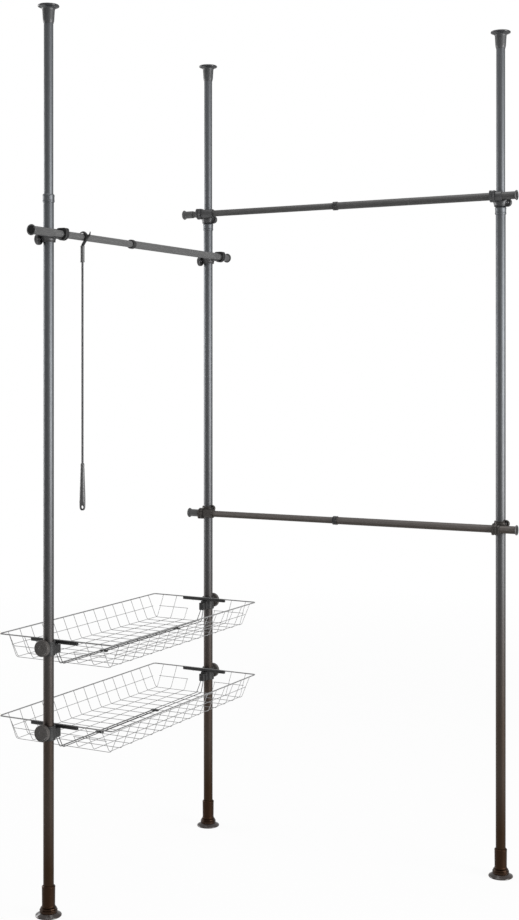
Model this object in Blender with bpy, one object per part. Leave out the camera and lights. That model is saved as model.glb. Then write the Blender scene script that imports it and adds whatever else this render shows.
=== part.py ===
"""Telescopic corner wardrobe: three floor-to-ceiling poles, three telescopic rails and two wire baskets.

The frame is metres with +Z up. The origin is on the floor under the corner pole (pole B). Pole C stands
along +X from it and pole A along -Y. Every piece is one closed body in its own object, and each piece
that moves has its origin on the axis it moves along or about.
"""

import math

import bmesh
import bpy
from mathutils import Matrix, Vector

# Overall layout
HEIGHT = 2.750
SIDE_BAY = 0.960
BACK_BAY = 1.100

# Clearances: between pieces that touch, inside a telescope, and where welded wires bite into each other
SEAT_GAP = 0.0003
SLIDE_GAP = 0.0003
WELD = 0.0005

# Pole tubes and their twist collars
LOWER_TUBE_R = 0.0160
LOWER_TUBE_WALL = 0.0014
UPPER_TUBE_WALL = 0.0014
UPPER_TUBE_HIDDEN = 0.620
COLLAR_TOP = 2.179
COLLAR_LENGTH = 0.025
COLLAR_WALL = 0.0024
COLLAR_LIP = 0.0040
COLLAR_ROUND = 0.0020

# Adjustable feet
FOOT_R = 0.0398
FOOT_EDGE = 0.0040
FOOT_DOME_TOP = 0.0115
FOOT_SWELL = 0.0020
SPINDLE_R = 0.0060
SPINDLE_TOP = 0.0850
NUT_R = 0.0270
NUT_HEIGHT = 0.0140
NUT_STEP = 0.0026
NUT_STEP_RISE = 0.0084
NUT_CHAMFER = 0.0015
SLEEVE_WALL = 0.0045
SLEEVE_FLOOR = 0.0080
SLEEVE_HEIGHT = 0.0661
SLEEVE_BEVEL = 0.0025

# Ceiling flanges
FLANGE_R = 0.0325
FLANGE_EDGE = 0.0055
FLANGE_CHAMFER = 0.0012
FLANGE_FLARE_R = 0.0250
FLANGE_FLARE_DROP = 0.0085
FLANGE_NECK_TOP_R = 0.0188
FLANGE_NECK_DROP = 0.0145
FLANGE_NECK_R = 0.0166
FLANGE_LENGTH = 0.0560
FLANGE_TAPER = 0.0090
FLANGE_ROOF = 0.0150

# Rail tubes, collars and end caps
RAIL_R = 0.0125
RAIL_WALL = 0.0012
RAIL_COLLAR_WALL = 0.0025
RAIL_COLLAR_LENGTH = 0.0160
RAIL_COLLAR_LIP = 0.0030
CAP_R = 0.0166
CAP_THICK = 0.0040
CAP_CHAMFER = 0.0012
CAP_DISH = 0.0020
CAP_RIM = 0.0034
CAP_SLEEVE_WALL = 0.0018
CAP_SLEEVE_LENGTH = 0.0360
CAP_PLUG_LENGTH = 0.0180

# Where the rails run and where their collars and ends lie
SIDE_RAIL_Z = 2.0585
MIDDLE_RAIL_Z = 1.1330
SIDE_COLLAR_FROM_B = 0.562
BACK_COLLAR_FROM_B = 0.515
SIDE_RAIL_PAST_A = 0.130
SIDE_RAIL_PAST_B = 0.083
TOP_RAIL_PAST_B = 0.082
MIDDLE_RAIL_PAST_B = 0.060
BACK_RAIL_PAST_C = 0.066
SIDE_TUBE_HIDDEN = 0.350
BACK_TUBE_HIDDEN = 0.320

# Cross clamps that carry the rails
BRACKET_WEB = 0.0035
BRACKET_TOP = 0.0145
TOP_BRACKET_DROP = 0.0310
SIDE_BRACKET_DROP = 0.0250
MIDDLE_BRACKET_DROP = 0.0240
BRACKET_HALF_LENGTH = 0.0310
BRACKET_HALF_WIDTH = 0.0250
BRACKET_BASE_WALL = 0.0048
BOSS_THICK = 0.0110
SIDE_BOSS_R = 0.0168
SIDE_BOSS_OUT = 0.0240
SIDE_BOSS_DROP = 0.0175
SIDE_BOSS_START = -0.0245
TOP_BOSS_R = 0.0140
TOP_BOSS_OUT = 0.0255
TOP_BOSS_DROP = 0.0190
TOP_BOSS_START = 0.0010
MIDDLE_BOSS_R = 0.0120
MIDDLE_BOSS_OUT = 0.0200
MIDDLE_BOSS_DROP = 0.0165
MIDDLE_BOSS_START = 0.0010
SADDLE_WALL = 0.0042
SADDLE_BACK = 0.0250
SADDLE_LIP = 0.0040
SADDLE_FACE = 0.0118
BOWL_LEVELS = 3
JAW_WALL = 0.0066
JAW_LENGTH = 0.0160
JAW_BITE = 0.0020
WRAP_WALL = 0.0030
THIN_WRAP_BACK = 0.0400
TOP_WRAP_BACK = 0.0170
MIDDLE_WRAP_BACK = 0.0100
SIDE_JAW_START = 0.0190
TOP_JAW_START = 0.0070
MIDDLE_JAW_START = -0.0010

# Wire baskets
RIM_CLEAR = 0.0140
BASKET_WIDTH = 0.420
BASKET_DEPTH = 0.076
BASKET_END_SLOPE = 0.043
BASKET_SIDE_SLOPE = 0.033
RIM_WIRE_R = 0.0025
MESH_WIRE_R = 0.0013
WIRE_BEND_R = 0.0100
CROSS_WIRES = 15
LONG_WIRES = 7
LONG_WIRE_INSET = 0.006
BELT_SHARE = 0.5
UPPER_RIM_Z = 0.8280
LOWER_RIM_Z = 0.5730

# Basket holders, their clamp knobs and the wire supports under the baskets
HOLDER_WALL = 0.0052
HOLDER_HEIGHT = 0.0340
TROUGH_LENGTH = 0.170
TROUGH_WIDTH = 0.0120
TROUGH_HEIGHT = 0.0130
TROUGH_LIP = 0.0010
ARM_WIDTH = 0.0220
SOCKET_PAST_RIM = 0.0220
SOCKET_WIDTH = 0.0200
SOCKET_TOP_DROP = 0.0150
SOCKET_HEIGHT = 0.0270
KNOB_R = 0.0250
KNOB_THICK = 0.0140
KNOB_CHAMFER = 0.0022
KNOB_DROP = 0.0160
KNOB_SHANK_R = 0.0040
BOSS_R = 0.0095
BOSS_REACH = 0.0255
SUPPORT_WIRE_R = 0.0018
SUPPORT_TOP_SPREAD = 0.0052
SUPPORT_SPREAD = 0.0090
SUPPORT_SEAT_DEPTH = 0.0180
SUPPORT_BEND_R = 0.0080
SUPPORT_LEG_OUT = 0.0360
SUPPORT_LEG_IN = 0.0155
CLIP_WIDTH = 0.0270
CLIP_LENGTH = 0.0120
CLIP_HEIGHT = 0.0076
UPPER_CLIP_A_AT = 0.220
UPPER_CLIP_B_AT = 0.666
LOWER_CLIP_A_AT = 0.360
LOWER_CLIP_B_AT = 0.690

# Hanger retriever on the side rail
RETRIEVER_FROM_B = 0.830
HOOK_WIRE_R = 0.0035
HOOK_OPEN_DEG = -28.0
HOOK_CLOSE_DEG = 196.0
HOOK_STEPS = 9
PRONG_REACH = 0.0135
PRONG_RISE = 0.0160
PRONG_WIRE_R = 0.0030
PRONG_CURVE = ((0.0, 0.0), (0.6, 0.25), (0.9, 0.6), (1.0, 1.0))
FERRULE_R = 0.0060
FERRULE_DROP = 0.0270
FERRULE_LENGTH = 0.0510
HANDLE_DROP = 0.6990
HANDLE_LENGTH = 0.1455
SHAFT_IN_HANDLE = 0.0400
SHAFT_END_DROP = HANDLE_DROP + SHAFT_IN_HANDLE
HANDLE_TOP_R = 0.0054
HANDLE_END_R = 0.0088
HANDLE_TIP_R = 0.0052
HANDLE_TIP_RISE = 0.0013
HANDLE_SHOULDER_RISE = 0.0060
HANDLE_SWELL_SHARE = 0.33
HANDLE_WAIST_SHARE = 0.60
HANDLE_HOLE_R = 0.0046
HANDLE_HOLE_UP = 0.0100
HANDLE_FLAT_HALF = 0.0032
HANDLE_FLAT_LENGTH = 0.0300

# Facets round each kind of piece
TUBE_SIDES = 16
RAIL_SIDES = 12
DISC_SIDES = 16
SMALL_SIDES = 10
ROD_SIDES = 6
MESH_SIDES = 4
BEND_STEPS = 1
SUPPORT_BEND_STEPS = 2
SMOOTH_DEG = 40.0
SAME_POINT = 1e-6

# Finishes: colour, roughness and share of metal
FINISHES = {
    "pole_coat": ((0.075, 0.078, 0.084), 0.34, 0.35),
    "side_rail_coat": ((0.145, 0.146, 0.148), 0.46, 0.2),
    "back_rail_coat": ((0.072, 0.072, 0.070), 0.46, 0.2),
    "black_plastic": ((0.020, 0.020, 0.021), 0.45, 0.0),
    "grey_plastic": ((0.090, 0.088, 0.086), 0.42, 0.0),
    "basket_wire": ((0.110, 0.110, 0.112), 0.38, 0.4),
    "retriever_steel": ((0.150, 0.152, 0.156), 0.34, 0.5),
}

# What follows from the sizes above
UPPER_TUBE_R = LOWER_TUBE_R - LOWER_TUBE_WALL - SLIDE_GAP
RAIL_INNER_R = RAIL_R - RAIL_WALL - SLIDE_GAP
RAIL_OFFSET = LOWER_TUBE_R + BRACKET_WEB + RAIL_R + 2.0 * SEAT_GAP
TOP_RAIL_Z = COLLAR_TOP + SEAT_GAP + TOP_BRACKET_DROP
NUT_BASE = FOOT_DOME_TOP + SEAT_GAP
SLEEVE_BASE = NUT_BASE + NUT_HEIGHT + SEAT_GAP
TUBE_BASE = SLEEVE_BASE + SLEEVE_FLOOR + SEAT_GAP
RIM_REACH = LOWER_TUBE_R + RIM_CLEAR
BASKET_LENGTH = SIDE_BAY - 2.0 * RIM_REACH
BASKET_FLOOR_LENGTH = BASKET_LENGTH - 2.0 * BASKET_END_SLOPE
BASKET_FLOOR_WIDTH = BASKET_WIDTH - 2.0 * BASKET_SIDE_SLOPE
LONG_WIRE_STEP = (BASKET_FLOOR_WIDTH - 2.0 * LONG_WIRE_INSET) / (LONG_WIRES - 1)
POLES = {"a": Vector((0.0, -SIDE_BAY, 0.0)), "b": Vector((0.0, 0.0, 0.0)), "c": Vector((BACK_BAY, 0.0, 0.0))}


def clear_scene():
    for item in list(bpy.data.objects):
        bpy.data.objects.remove(item, do_unlink=True)


def make_material(name, colour, roughness, metallic):
    """A Principled material of one colour."""
    material = bpy.data.materials.new(name)
    material.use_nodes = True
    shader = material.node_tree.nodes["Principled BSDF"]
    shader.inputs["Base Color"].default_value = (*colour, 1.0)
    shader.inputs["Roughness"].default_value = roughness
    shader.inputs["Metallic"].default_value = metallic
    return material


def add_object(name, mesh_data, material, location=(0.0, 0.0, 0.0), rotation=None):
    """Link a mesh as an object with its material, smooth where its faces meet gently."""
    mesh = bpy.data.meshes.new(name)
    mesh_data.to_mesh(mesh)
    mesh_data.free()
    mesh.materials.append(material)
    mesh.shade_smooth()
    mesh.set_sharp_from_angle(angle=math.radians(SMOOTH_DEG))
    item = bpy.data.objects.new(name, mesh)
    item.location = location
    if rotation is not None:
        item.rotation_euler = rotation
    bpy.context.collection.objects.link(item)
    return item


def combine(target, tool, operation, solver="EXACT"):
    """Join a tool to the target, or cut it away, with a live Boolean, and hide the tool."""
    tool.hide_render = True
    tool.display_type = "WIRE"
    tool.name = "tool_" + tool.name
    modifier = target.modifiers.new(operation.lower() + "_" + tool.name, "BOOLEAN")
    modifier.operation = operation
    modifier.solver = solver
    modifier.object = tool
    return target


def bore_radius(radius, gap, sides):
    """Corner radius of a bore whose flats clear a round of the given radius by the gap."""
    return (radius + gap) / math.cos(math.pi / sides)


def wire_corner_radius(radius, sides):
    """Corner radius of a polygon that has the area of a round wire."""
    return radius * math.sqrt(2.0 * math.pi / (sides * math.sin(2.0 * math.pi / sides)))


def wire_half_flat(radius, sides):
    """Half the width of that polygon across its flats."""
    return wire_corner_radius(radius, sides) * math.cos(math.pi / sides)


def turned(profile, sides):
    """A closed solid turned about Z from a closed outline of (radius, height) points."""
    shape = bmesh.new()
    points = [shape.verts.new((radius, 0.0, height)) for radius, height in profile]
    edges = []
    for index, point in enumerate(points):
        following = points[(index + 1) % len(points)]
        on_axis = point.co.x == 0.0 and following.co.x == 0.0
        if not on_axis:
            edges.append(shape.edges.new((point, following)))
    bmesh.ops.spin(
        shape,
        geom=points + edges,
        axis=(0.0, 0.0, 1.0),
        cent=(0.0, 0.0, 0.0),
        steps=sides,
        angle=2.0 * math.pi,
        use_merge=True,
    )
    bmesh.ops.remove_doubles(shape, verts=shape.verts, dist=SAME_POINT)
    bmesh.ops.recalc_face_normals(shape, faces=shape.faces)
    return shape


def block(low, high, bevel=0.0):
    """A box between two corners, with its edges bevelled where a bevel is given."""
    shape = bmesh.new()
    size = [b - a for a, b in zip(low, high)]
    centre = [(a + b) / 2.0 for a, b in zip(low, high)]
    bmesh.ops.create_cube(shape, size=1.0)
    bmesh.ops.scale(shape, vec=size, verts=shape.verts)
    bmesh.ops.translate(shape, vec=centre, verts=shape.verts)
    if bevel > 0.0:
        bmesh.ops.bevel(shape, geom=list(shape.edges), offset=bevel, segments=1, affect="EDGES")
    return shape


def swept(path, radius, sides, normal, closed=False, phase=0.5):
    """A wire of the given radius along a path, mitred at each corner and capped at its ends.

    The normal is a direction that the wire's flats face at the start, or its ridges with a phase of
    nought. It is carried along the path without twist.
    """
    shape = bmesh.new()
    corner = wire_corner_radius(radius, sides)
    count = len(path)
    rings = []
    side_way = Vector(normal).normalized()
    for index, point in enumerate(path):
        before = path[index - 1] if (closed or index > 0) else None
        after = path[(index + 1) % count] if (closed or index < count - 1) else None
        way_in = (point - before).normalized() if before is not None else (after - point).normalized()
        way_out = (after - point).normalized() if after is not None else way_in
        side_way = (side_way - way_in * side_way.dot(way_in)).normalized()
        cross_way = way_in.cross(side_way)
        mitre = (way_in + way_out).normalized()
        ring = []
        for step in range(sides):
            angle = 2.0 * math.pi * (step + phase) / sides
            offset = (side_way * math.cos(angle) + cross_way * math.sin(angle)) * corner
            offset -= way_in * (offset.dot(mitre) / way_in.dot(mitre))
            ring.append(shape.verts.new(point + offset))
        rings.append(ring)
    last = count if closed else count - 1
    for index in range(last):
        here = rings[index]
        there = rings[(index + 1) % count]
        for step in range(sides):
            beyond = (step + 1) % sides
            shape.faces.new((here[step], here[beyond], there[beyond], there[step]))
    if not closed:
        shape.faces.new(rings[0])
        shape.faces.new(rings[-1])
    bmesh.ops.recalc_face_normals(shape, faces=shape.faces)
    return shape


def merged(shapes):
    """One mesh that holds several shapes."""
    whole = bmesh.new()
    for shape in shapes:
        carrier = bpy.data.meshes.new("carrier")
        shape.to_mesh(carrier)
        shape.free()
        whole.from_mesh(carrier)
        bpy.data.meshes.remove(carrier)
    return whole


def rounded(points, radius, steps):
    """The path through the points with each inner corner replaced by an arc of the given radius."""
    path = [points[0]]
    for before, corner, after in zip(points, points[1:], points[2:]):
        way_in = (corner - before).normalized()
        way_out = (after - corner).normalized()
        turn = way_in.angle(way_out)
        cut = radius * math.tan(turn / 2.0)
        start = corner - way_in * cut
        axis = way_in.cross(way_out).normalized()
        centre = start + axis.cross(way_in) * radius
        arm = start - centre
        for step in range(steps + 1):
            path.append(centre + Matrix.Rotation(turn * step / steps, 3, axis) @ arm)
    path.append(points[-1])
    return path


def tube_profile(radius, wall, low, high):
    """The outline of a plain tube."""
    return [(radius, high), (radius, low), (radius - wall, low), (radius - wall, high)]


def make_foot(letter, base, finish):
    """The floor plate with its spindle, the hand nut on it and the sleeve that carries the tube."""
    plate = [
        (0.0, 0.0),
        (FOOT_R, 0.0),
        (FOOT_R, FOOT_EDGE),
        ((FOOT_R + NUT_R) / 2.0, (FOOT_EDGE + FOOT_DOME_TOP) / 2.0 + FOOT_SWELL),
        (NUT_R - NUT_CHAMFER, FOOT_DOME_TOP),
        (SPINDLE_R, FOOT_DOME_TOP),
        (SPINDLE_R, SPINDLE_TOP),
        (0.0, SPINDLE_TOP),
    ]
    add_object(f"pole_{letter}_foot_plate", turned(plate, DISC_SIDES), finish["grey_plastic"], base)
    spindle_bore = bore_radius(SPINDLE_R, SLIDE_GAP, DISC_SIDES)
    nut = [
        (NUT_R - NUT_STEP, NUT_HEIGHT - NUT_CHAMFER),
        (NUT_R - NUT_STEP, NUT_STEP_RISE),
        (NUT_R, NUT_STEP_RISE - NUT_CHAMFER),
        (NUT_R, NUT_CHAMFER),
        (NUT_R - NUT_CHAMFER, 0.0),
        (spindle_bore, 0.0),
        (spindle_bore, NUT_HEIGHT),
        (NUT_R - NUT_STEP - NUT_CHAMFER, NUT_HEIGHT),
    ]
    place = base + Vector((0.0, 0.0, NUT_BASE))
    add_object(f"pole_{letter}_foot_nut", turned(nut, DISC_SIDES), finish["grey_plastic"], place)
    tube_bore = LOWER_TUBE_R + SEAT_GAP
    outer = LOWER_TUBE_R + SLEEVE_WALL
    spindle_bore = bore_radius(SPINDLE_R, SLIDE_GAP, TUBE_SIDES)
    sleeve = [
        (outer, SLEEVE_HEIGHT - SLEEVE_BEVEL),
        (outer, 0.0),
        (spindle_bore, 0.0),
        (spindle_bore, SLEEVE_FLOOR),
        (tube_bore, SLEEVE_FLOOR),
        (tube_bore, SLEEVE_HEIGHT),
        (outer - SLEEVE_BEVEL, SLEEVE_HEIGHT),
    ]
    place = base + Vector((0.0, 0.0, SLEEVE_BASE))
    add_object(f"pole_{letter}_foot_sleeve", turned(sleeve, TUBE_SIDES), finish["black_plastic"], place)


def make_pole(letter, base, finish):
    """The lower tube, the twist collar on its top, the upper tube and the flange at the ceiling."""
    lip_base = COLLAR_TOP - COLLAR_LIP
    lower = tube_profile(LOWER_TUBE_R, LOWER_TUBE_WALL, 0.0, lip_base - SEAT_GAP - TUBE_BASE)
    place = base + Vector((0.0, 0.0, TUBE_BASE))
    add_object(f"pole_{letter}_lower_tube", turned(lower, TUBE_SIDES), finish["pole_coat"], place)
    lower_bore = bore_radius(LOWER_TUBE_R, SLIDE_GAP, TUBE_SIDES)
    upper_bore = bore_radius(UPPER_TUBE_R, SLIDE_GAP, TUBE_SIDES)
    outer = LOWER_TUBE_R + COLLAR_WALL
    collar = [
        (outer, COLLAR_LENGTH - COLLAR_ROUND),
        (outer, 0.0),
        (lower_bore, 0.0),
        (lower_bore, COLLAR_LENGTH - COLLAR_LIP),
        (upper_bore, COLLAR_LENGTH - COLLAR_LIP),
        (upper_bore, COLLAR_LENGTH),
        (outer - COLLAR_ROUND, COLLAR_LENGTH),
    ]
    place = base + Vector((0.0, 0.0, COLLAR_TOP - COLLAR_LENGTH))
    add_object(f"pole_{letter}_lock_collar", turned(collar, TUBE_SIDES), finish["pole_coat"], place)
    tube_low = COLLAR_TOP - UPPER_TUBE_HIDDEN
    tube_high = HEIGHT - FLANGE_ROOF - SEAT_GAP
    upper = tube_profile(UPPER_TUBE_R, UPPER_TUBE_WALL, 0.0, tube_high - tube_low)
    place = base + Vector((0.0, 0.0, tube_low))
    add_object(f"pole_{letter}_upper_tube", turned(upper, TUBE_SIDES), finish["pole_coat"], place)
    flange = [
        (0.0, 0.0),
        (FLANGE_R - FLANGE_CHAMFER, 0.0),
        (FLANGE_R, -FLANGE_CHAMFER),
        (FLANGE_R, -FLANGE_EDGE),
        (FLANGE_FLARE_R, -FLANGE_FLARE_DROP),
        (FLANGE_NECK_TOP_R, -FLANGE_NECK_DROP),
        (FLANGE_NECK_R, -FLANGE_LENGTH + FLANGE_TAPER),
        (UPPER_TUBE_R + SEAT_GAP, -FLANGE_LENGTH),
        (UPPER_TUBE_R + SEAT_GAP, -FLANGE_ROOF),
        (0.0, -FLANGE_ROOF),
    ]
    place = base + Vector((0.0, 0.0, HEIGHT))
    add_object(f"pole_{letter}_ceiling_flange", turned(flange, TUBE_SIDES), finish["grey_plastic"], place)


def rail_rotation(way):
    """The turn that lays a piece made along +Z along the given horizontal way."""
    return Vector(way).to_track_quat("Z", "Y").to_euler()


def make_rail(name, start, way, lengths, sleeve, finish, coat):
    """A telescopic rail: thin tube, thick tube, twist collar and the cap on each end.

    The start is the thin end. The lengths are those from there to the collar's mouth, to the hidden
    end of the thin tube and to the thick tube's far end. The sleeve is the length of the thin cap's.
    """
    to_collar, to_hidden_end, whole = lengths
    turn = rail_rotation(way)
    way = Vector(way)
    thin = tube_profile(RAIL_INNER_R, RAIL_WALL, CAP_THICK + SEAT_GAP, to_hidden_end)
    add_object(f"{name}_inner_tube", turned(thin, RAIL_SIDES), finish[coat], start, turn)
    lip_end = to_collar + RAIL_COLLAR_LIP
    far = whole - CAP_THICK - SEAT_GAP
    thick = tube_profile(RAIL_R, RAIL_WALL, lip_end + SEAT_GAP, far)
    add_object(f"{name}_outer_tube", turned(thick, RAIL_SIDES), finish[coat], start, turn)
    outer = RAIL_R + RAIL_COLLAR_WALL
    thick_bore = bore_radius(RAIL_R, SLIDE_GAP, RAIL_SIDES)
    thin_bore = bore_radius(RAIL_INNER_R, SLIDE_GAP, RAIL_SIDES)
    collar = [
        (outer - CAP_CHAMFER, 0.0),
        (thin_bore, 0.0),
        (thin_bore, RAIL_COLLAR_LIP),
        (thick_bore, RAIL_COLLAR_LIP),
        (thick_bore, RAIL_COLLAR_LENGTH),
        (outer, RAIL_COLLAR_LENGTH),
        (outer, CAP_CHAMFER),
    ]
    place = start + way * to_collar
    add_object(f"{name}_lock_collar", turned(collar, RAIL_SIDES), finish["black_plastic"], place, turn)
    thin_cap = [
        (0.0, CAP_DISH),
        (CAP_R - CAP_RIM, CAP_DISH),
        (CAP_R - CAP_RIM, 0.0),
        (CAP_R - CAP_CHAMFER, 0.0),
        (CAP_R, CAP_CHAMFER),
        (CAP_R, CAP_THICK),
        (RAIL_INNER_R + CAP_SLEEVE_WALL, CAP_THICK),
        (RAIL_INNER_R + CAP_SLEEVE_WALL, CAP_THICK + sleeve),
        (RAIL_INNER_R + SEAT_GAP, CAP_THICK + sleeve),
        (RAIL_INNER_R + SEAT_GAP, CAP_THICK),
        (0.0, CAP_THICK),
    ]
    add_object(f"{name}_inner_cap", turned(thin_cap, RAIL_SIDES), finish["grey_plastic"], start, turn)
    plug_r = RAIL_R - RAIL_WALL - SEAT_GAP
    thick_cap = [
        (0.0, -CAP_DISH),
        (0.0, -CAP_THICK - CAP_PLUG_LENGTH),
        (plug_r, -CAP_THICK - CAP_PLUG_LENGTH),
        (plug_r, -CAP_THICK),
        (CAP_R, -CAP_THICK),
        (CAP_R, -CAP_CHAMFER),
        (CAP_R - CAP_CHAMFER, 0.0),
        (CAP_R - CAP_RIM, 0.0),
        (CAP_R - CAP_RIM, -CAP_DISH),
    ]
    place = start + way * whole
    add_object(f"{name}_outer_cap", turned(thick_cap, RAIL_SIDES), finish["grey_plastic"], place, turn)


def bracket_bowl(drop):
    """The clamp's bowl round the pole: an oval at the rail end that draws in to a round at the other."""
    shape = bmesh.new()
    base_r = LOWER_TUBE_R + BRACKET_BASE_WALL
    rings = []
    for level in range(BOWL_LEVELS):
        share = level / (BOWL_LEVELS - 1)
        swell = math.sin(share * math.pi / 2.0)
        height = -drop + (drop + BRACKET_TOP) * share
        half_length = base_r + (BRACKET_HALF_LENGTH - base_r) * swell
        half_width = base_r + (BRACKET_HALF_WIDTH - base_r) * swell
        ring = []
        for step in range(TUBE_SIDES):
            angle = 2.0 * math.pi * step / TUBE_SIDES
            place = (half_length * math.cos(angle), half_width * math.sin(angle), height)
            ring.append(shape.verts.new(place))
        rings.append(ring)
    for low, high in zip(rings, rings[1:]):
        for step in range(TUBE_SIDES):
            beyond = (step + 1) % TUBE_SIDES
            shape.faces.new((low[step], low[beyond], high[beyond], high[step]))
    shape.faces.new(rings[0])
    shape.faces.new(rings[-1])
    return shape


def along_rail(shape):
    """Lay a shape made along +Z along local +X, on the rail's line beside the pole."""
    bmesh.ops.rotate(shape, cent=(0, 0, 0), matrix=Matrix.Rotation(math.pi / 2.0, 3, "Y"), verts=shape.verts)
    bmesh.ops.translate(shape, vec=(0.0, RAIL_OFFSET, 0.0), verts=shape.verts)
    return shape


def across_rail(shape, x, z):
    """Lay a shape made along +Z along local +Y, at the given place beside the pole."""
    bmesh.ops.rotate(shape, cent=(0, 0, 0), matrix=Matrix.Rotation(-math.pi / 2.0, 3, "X"), verts=shape.verts)
    bmesh.ops.translate(shape, vec=(x, 0.0, z), verts=shape.verts)
    return shape


def rod(radius, low, high, sides):
    """A plain round bar along Z."""
    return turned([(0.0, low), (radius, low), (radius, high), (0.0, high)], sides)


def make_bracket(name, place, turn, bores, hand, bowl_drop, boss, wrap, finish):
    """A cross clamp: bowl round the pole, cradle under the rail, jaw round the rail and round boss.

    In the piece's own frame the pole is along Z and the rail runs along X at +Y. The bores are the
    radii of the pole and of the rail. The hand is the side along X that the jaw is on, the side along
    Z that the bowl is on and where the jaw starts. The bowl's end lies bowl_drop from the rail's
    axis. The boss is its radius, how far it stands out along X and how far it lies from the rail's
    axis along Z, and where it starts along Y. The wrap is how far a sleeve round the rail runs back
    past the pole's axis, or None where the rail lies open in front.
    """
    pole_radius, rail_radius = bores
    jaw_side, bowl_side, jaw_start = hand
    boss_r, boss_out, boss_drop, boss_start = boss
    saddle_r = RAIL_R + SADDLE_WALL
    jaw_r = RAIL_R + JAW_WALL
    jaw_end = jaw_start + JAW_LENGTH
    saddle_end = jaw_start + JAW_BITE
    reach = BRACKET_HALF_LENGTH + THIN_WRAP_BACK
    depth = bowl_drop + BRACKET_TOP
    jaw = [
        (0.0, jaw_start),
        (jaw_r, jaw_start),
        (jaw_r, jaw_end - CAP_CHAMFER),
        (jaw_r - CAP_CHAMFER, jaw_end),
        (0.0, jaw_end),
    ]
    above = block(
        (-reach, RAIL_OFFSET - SADDLE_FACE, -SADDLE_LIP),
        (jaw_end + JAW_BITE, RAIL_OFFSET + 2.0 * saddle_r, depth),
    )
    knuckle = rod(boss_r, boss_start, boss_start + BOSS_THICK, TUBE_SIDES)
    steps = [
        ("bowl", bracket_bowl(bowl_drop), "base"),
        ("saddle", along_rail(rod(saddle_r, -SADDLE_BACK, saddle_end, RAIL_SIDES)), "UNION"),
        ("above", above, "DIFFERENCE"),
    ]
    if wrap is not None:
        sleeve = rod(RAIL_R + WRAP_WALL, -wrap, saddle_end, RAIL_SIDES)
        steps.append(("wrap", along_rail(sleeve), "UNION"))
    steps += [
        ("jaw", along_rail(turned(jaw, RAIL_SIDES)), "UNION"),
        ("boss", across_rail(knuckle, -boss_out, -boss_drop), "UNION"),
        ("rail_bore", along_rail(rod(rail_radius + SEAT_GAP, -reach, reach, RAIL_SIDES)), "DIFFERENCE"),
        ("pole_bore", rod(pole_radius + SEAT_GAP, -depth, depth, TUBE_SIDES), "DIFFERENCE"),
    ]
    black = finish["black_plastic"]
    item = None
    for label, shape, operation in steps:
        bmesh.ops.scale(shape, vec=(jaw_side, 1.0, bowl_side), verts=shape.verts)
        bmesh.ops.recalc_face_normals(shape, faces=shape.faces)
        if item is None:
            item = add_object(name, shape, black, place, (0.0, 0.0, turn))
        else:
            tool = add_object(f"{name}_{label}", shape, black, place, (0.0, 0.0, turn))
            combine(item, tool, operation, "MANIFOLD")


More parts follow.
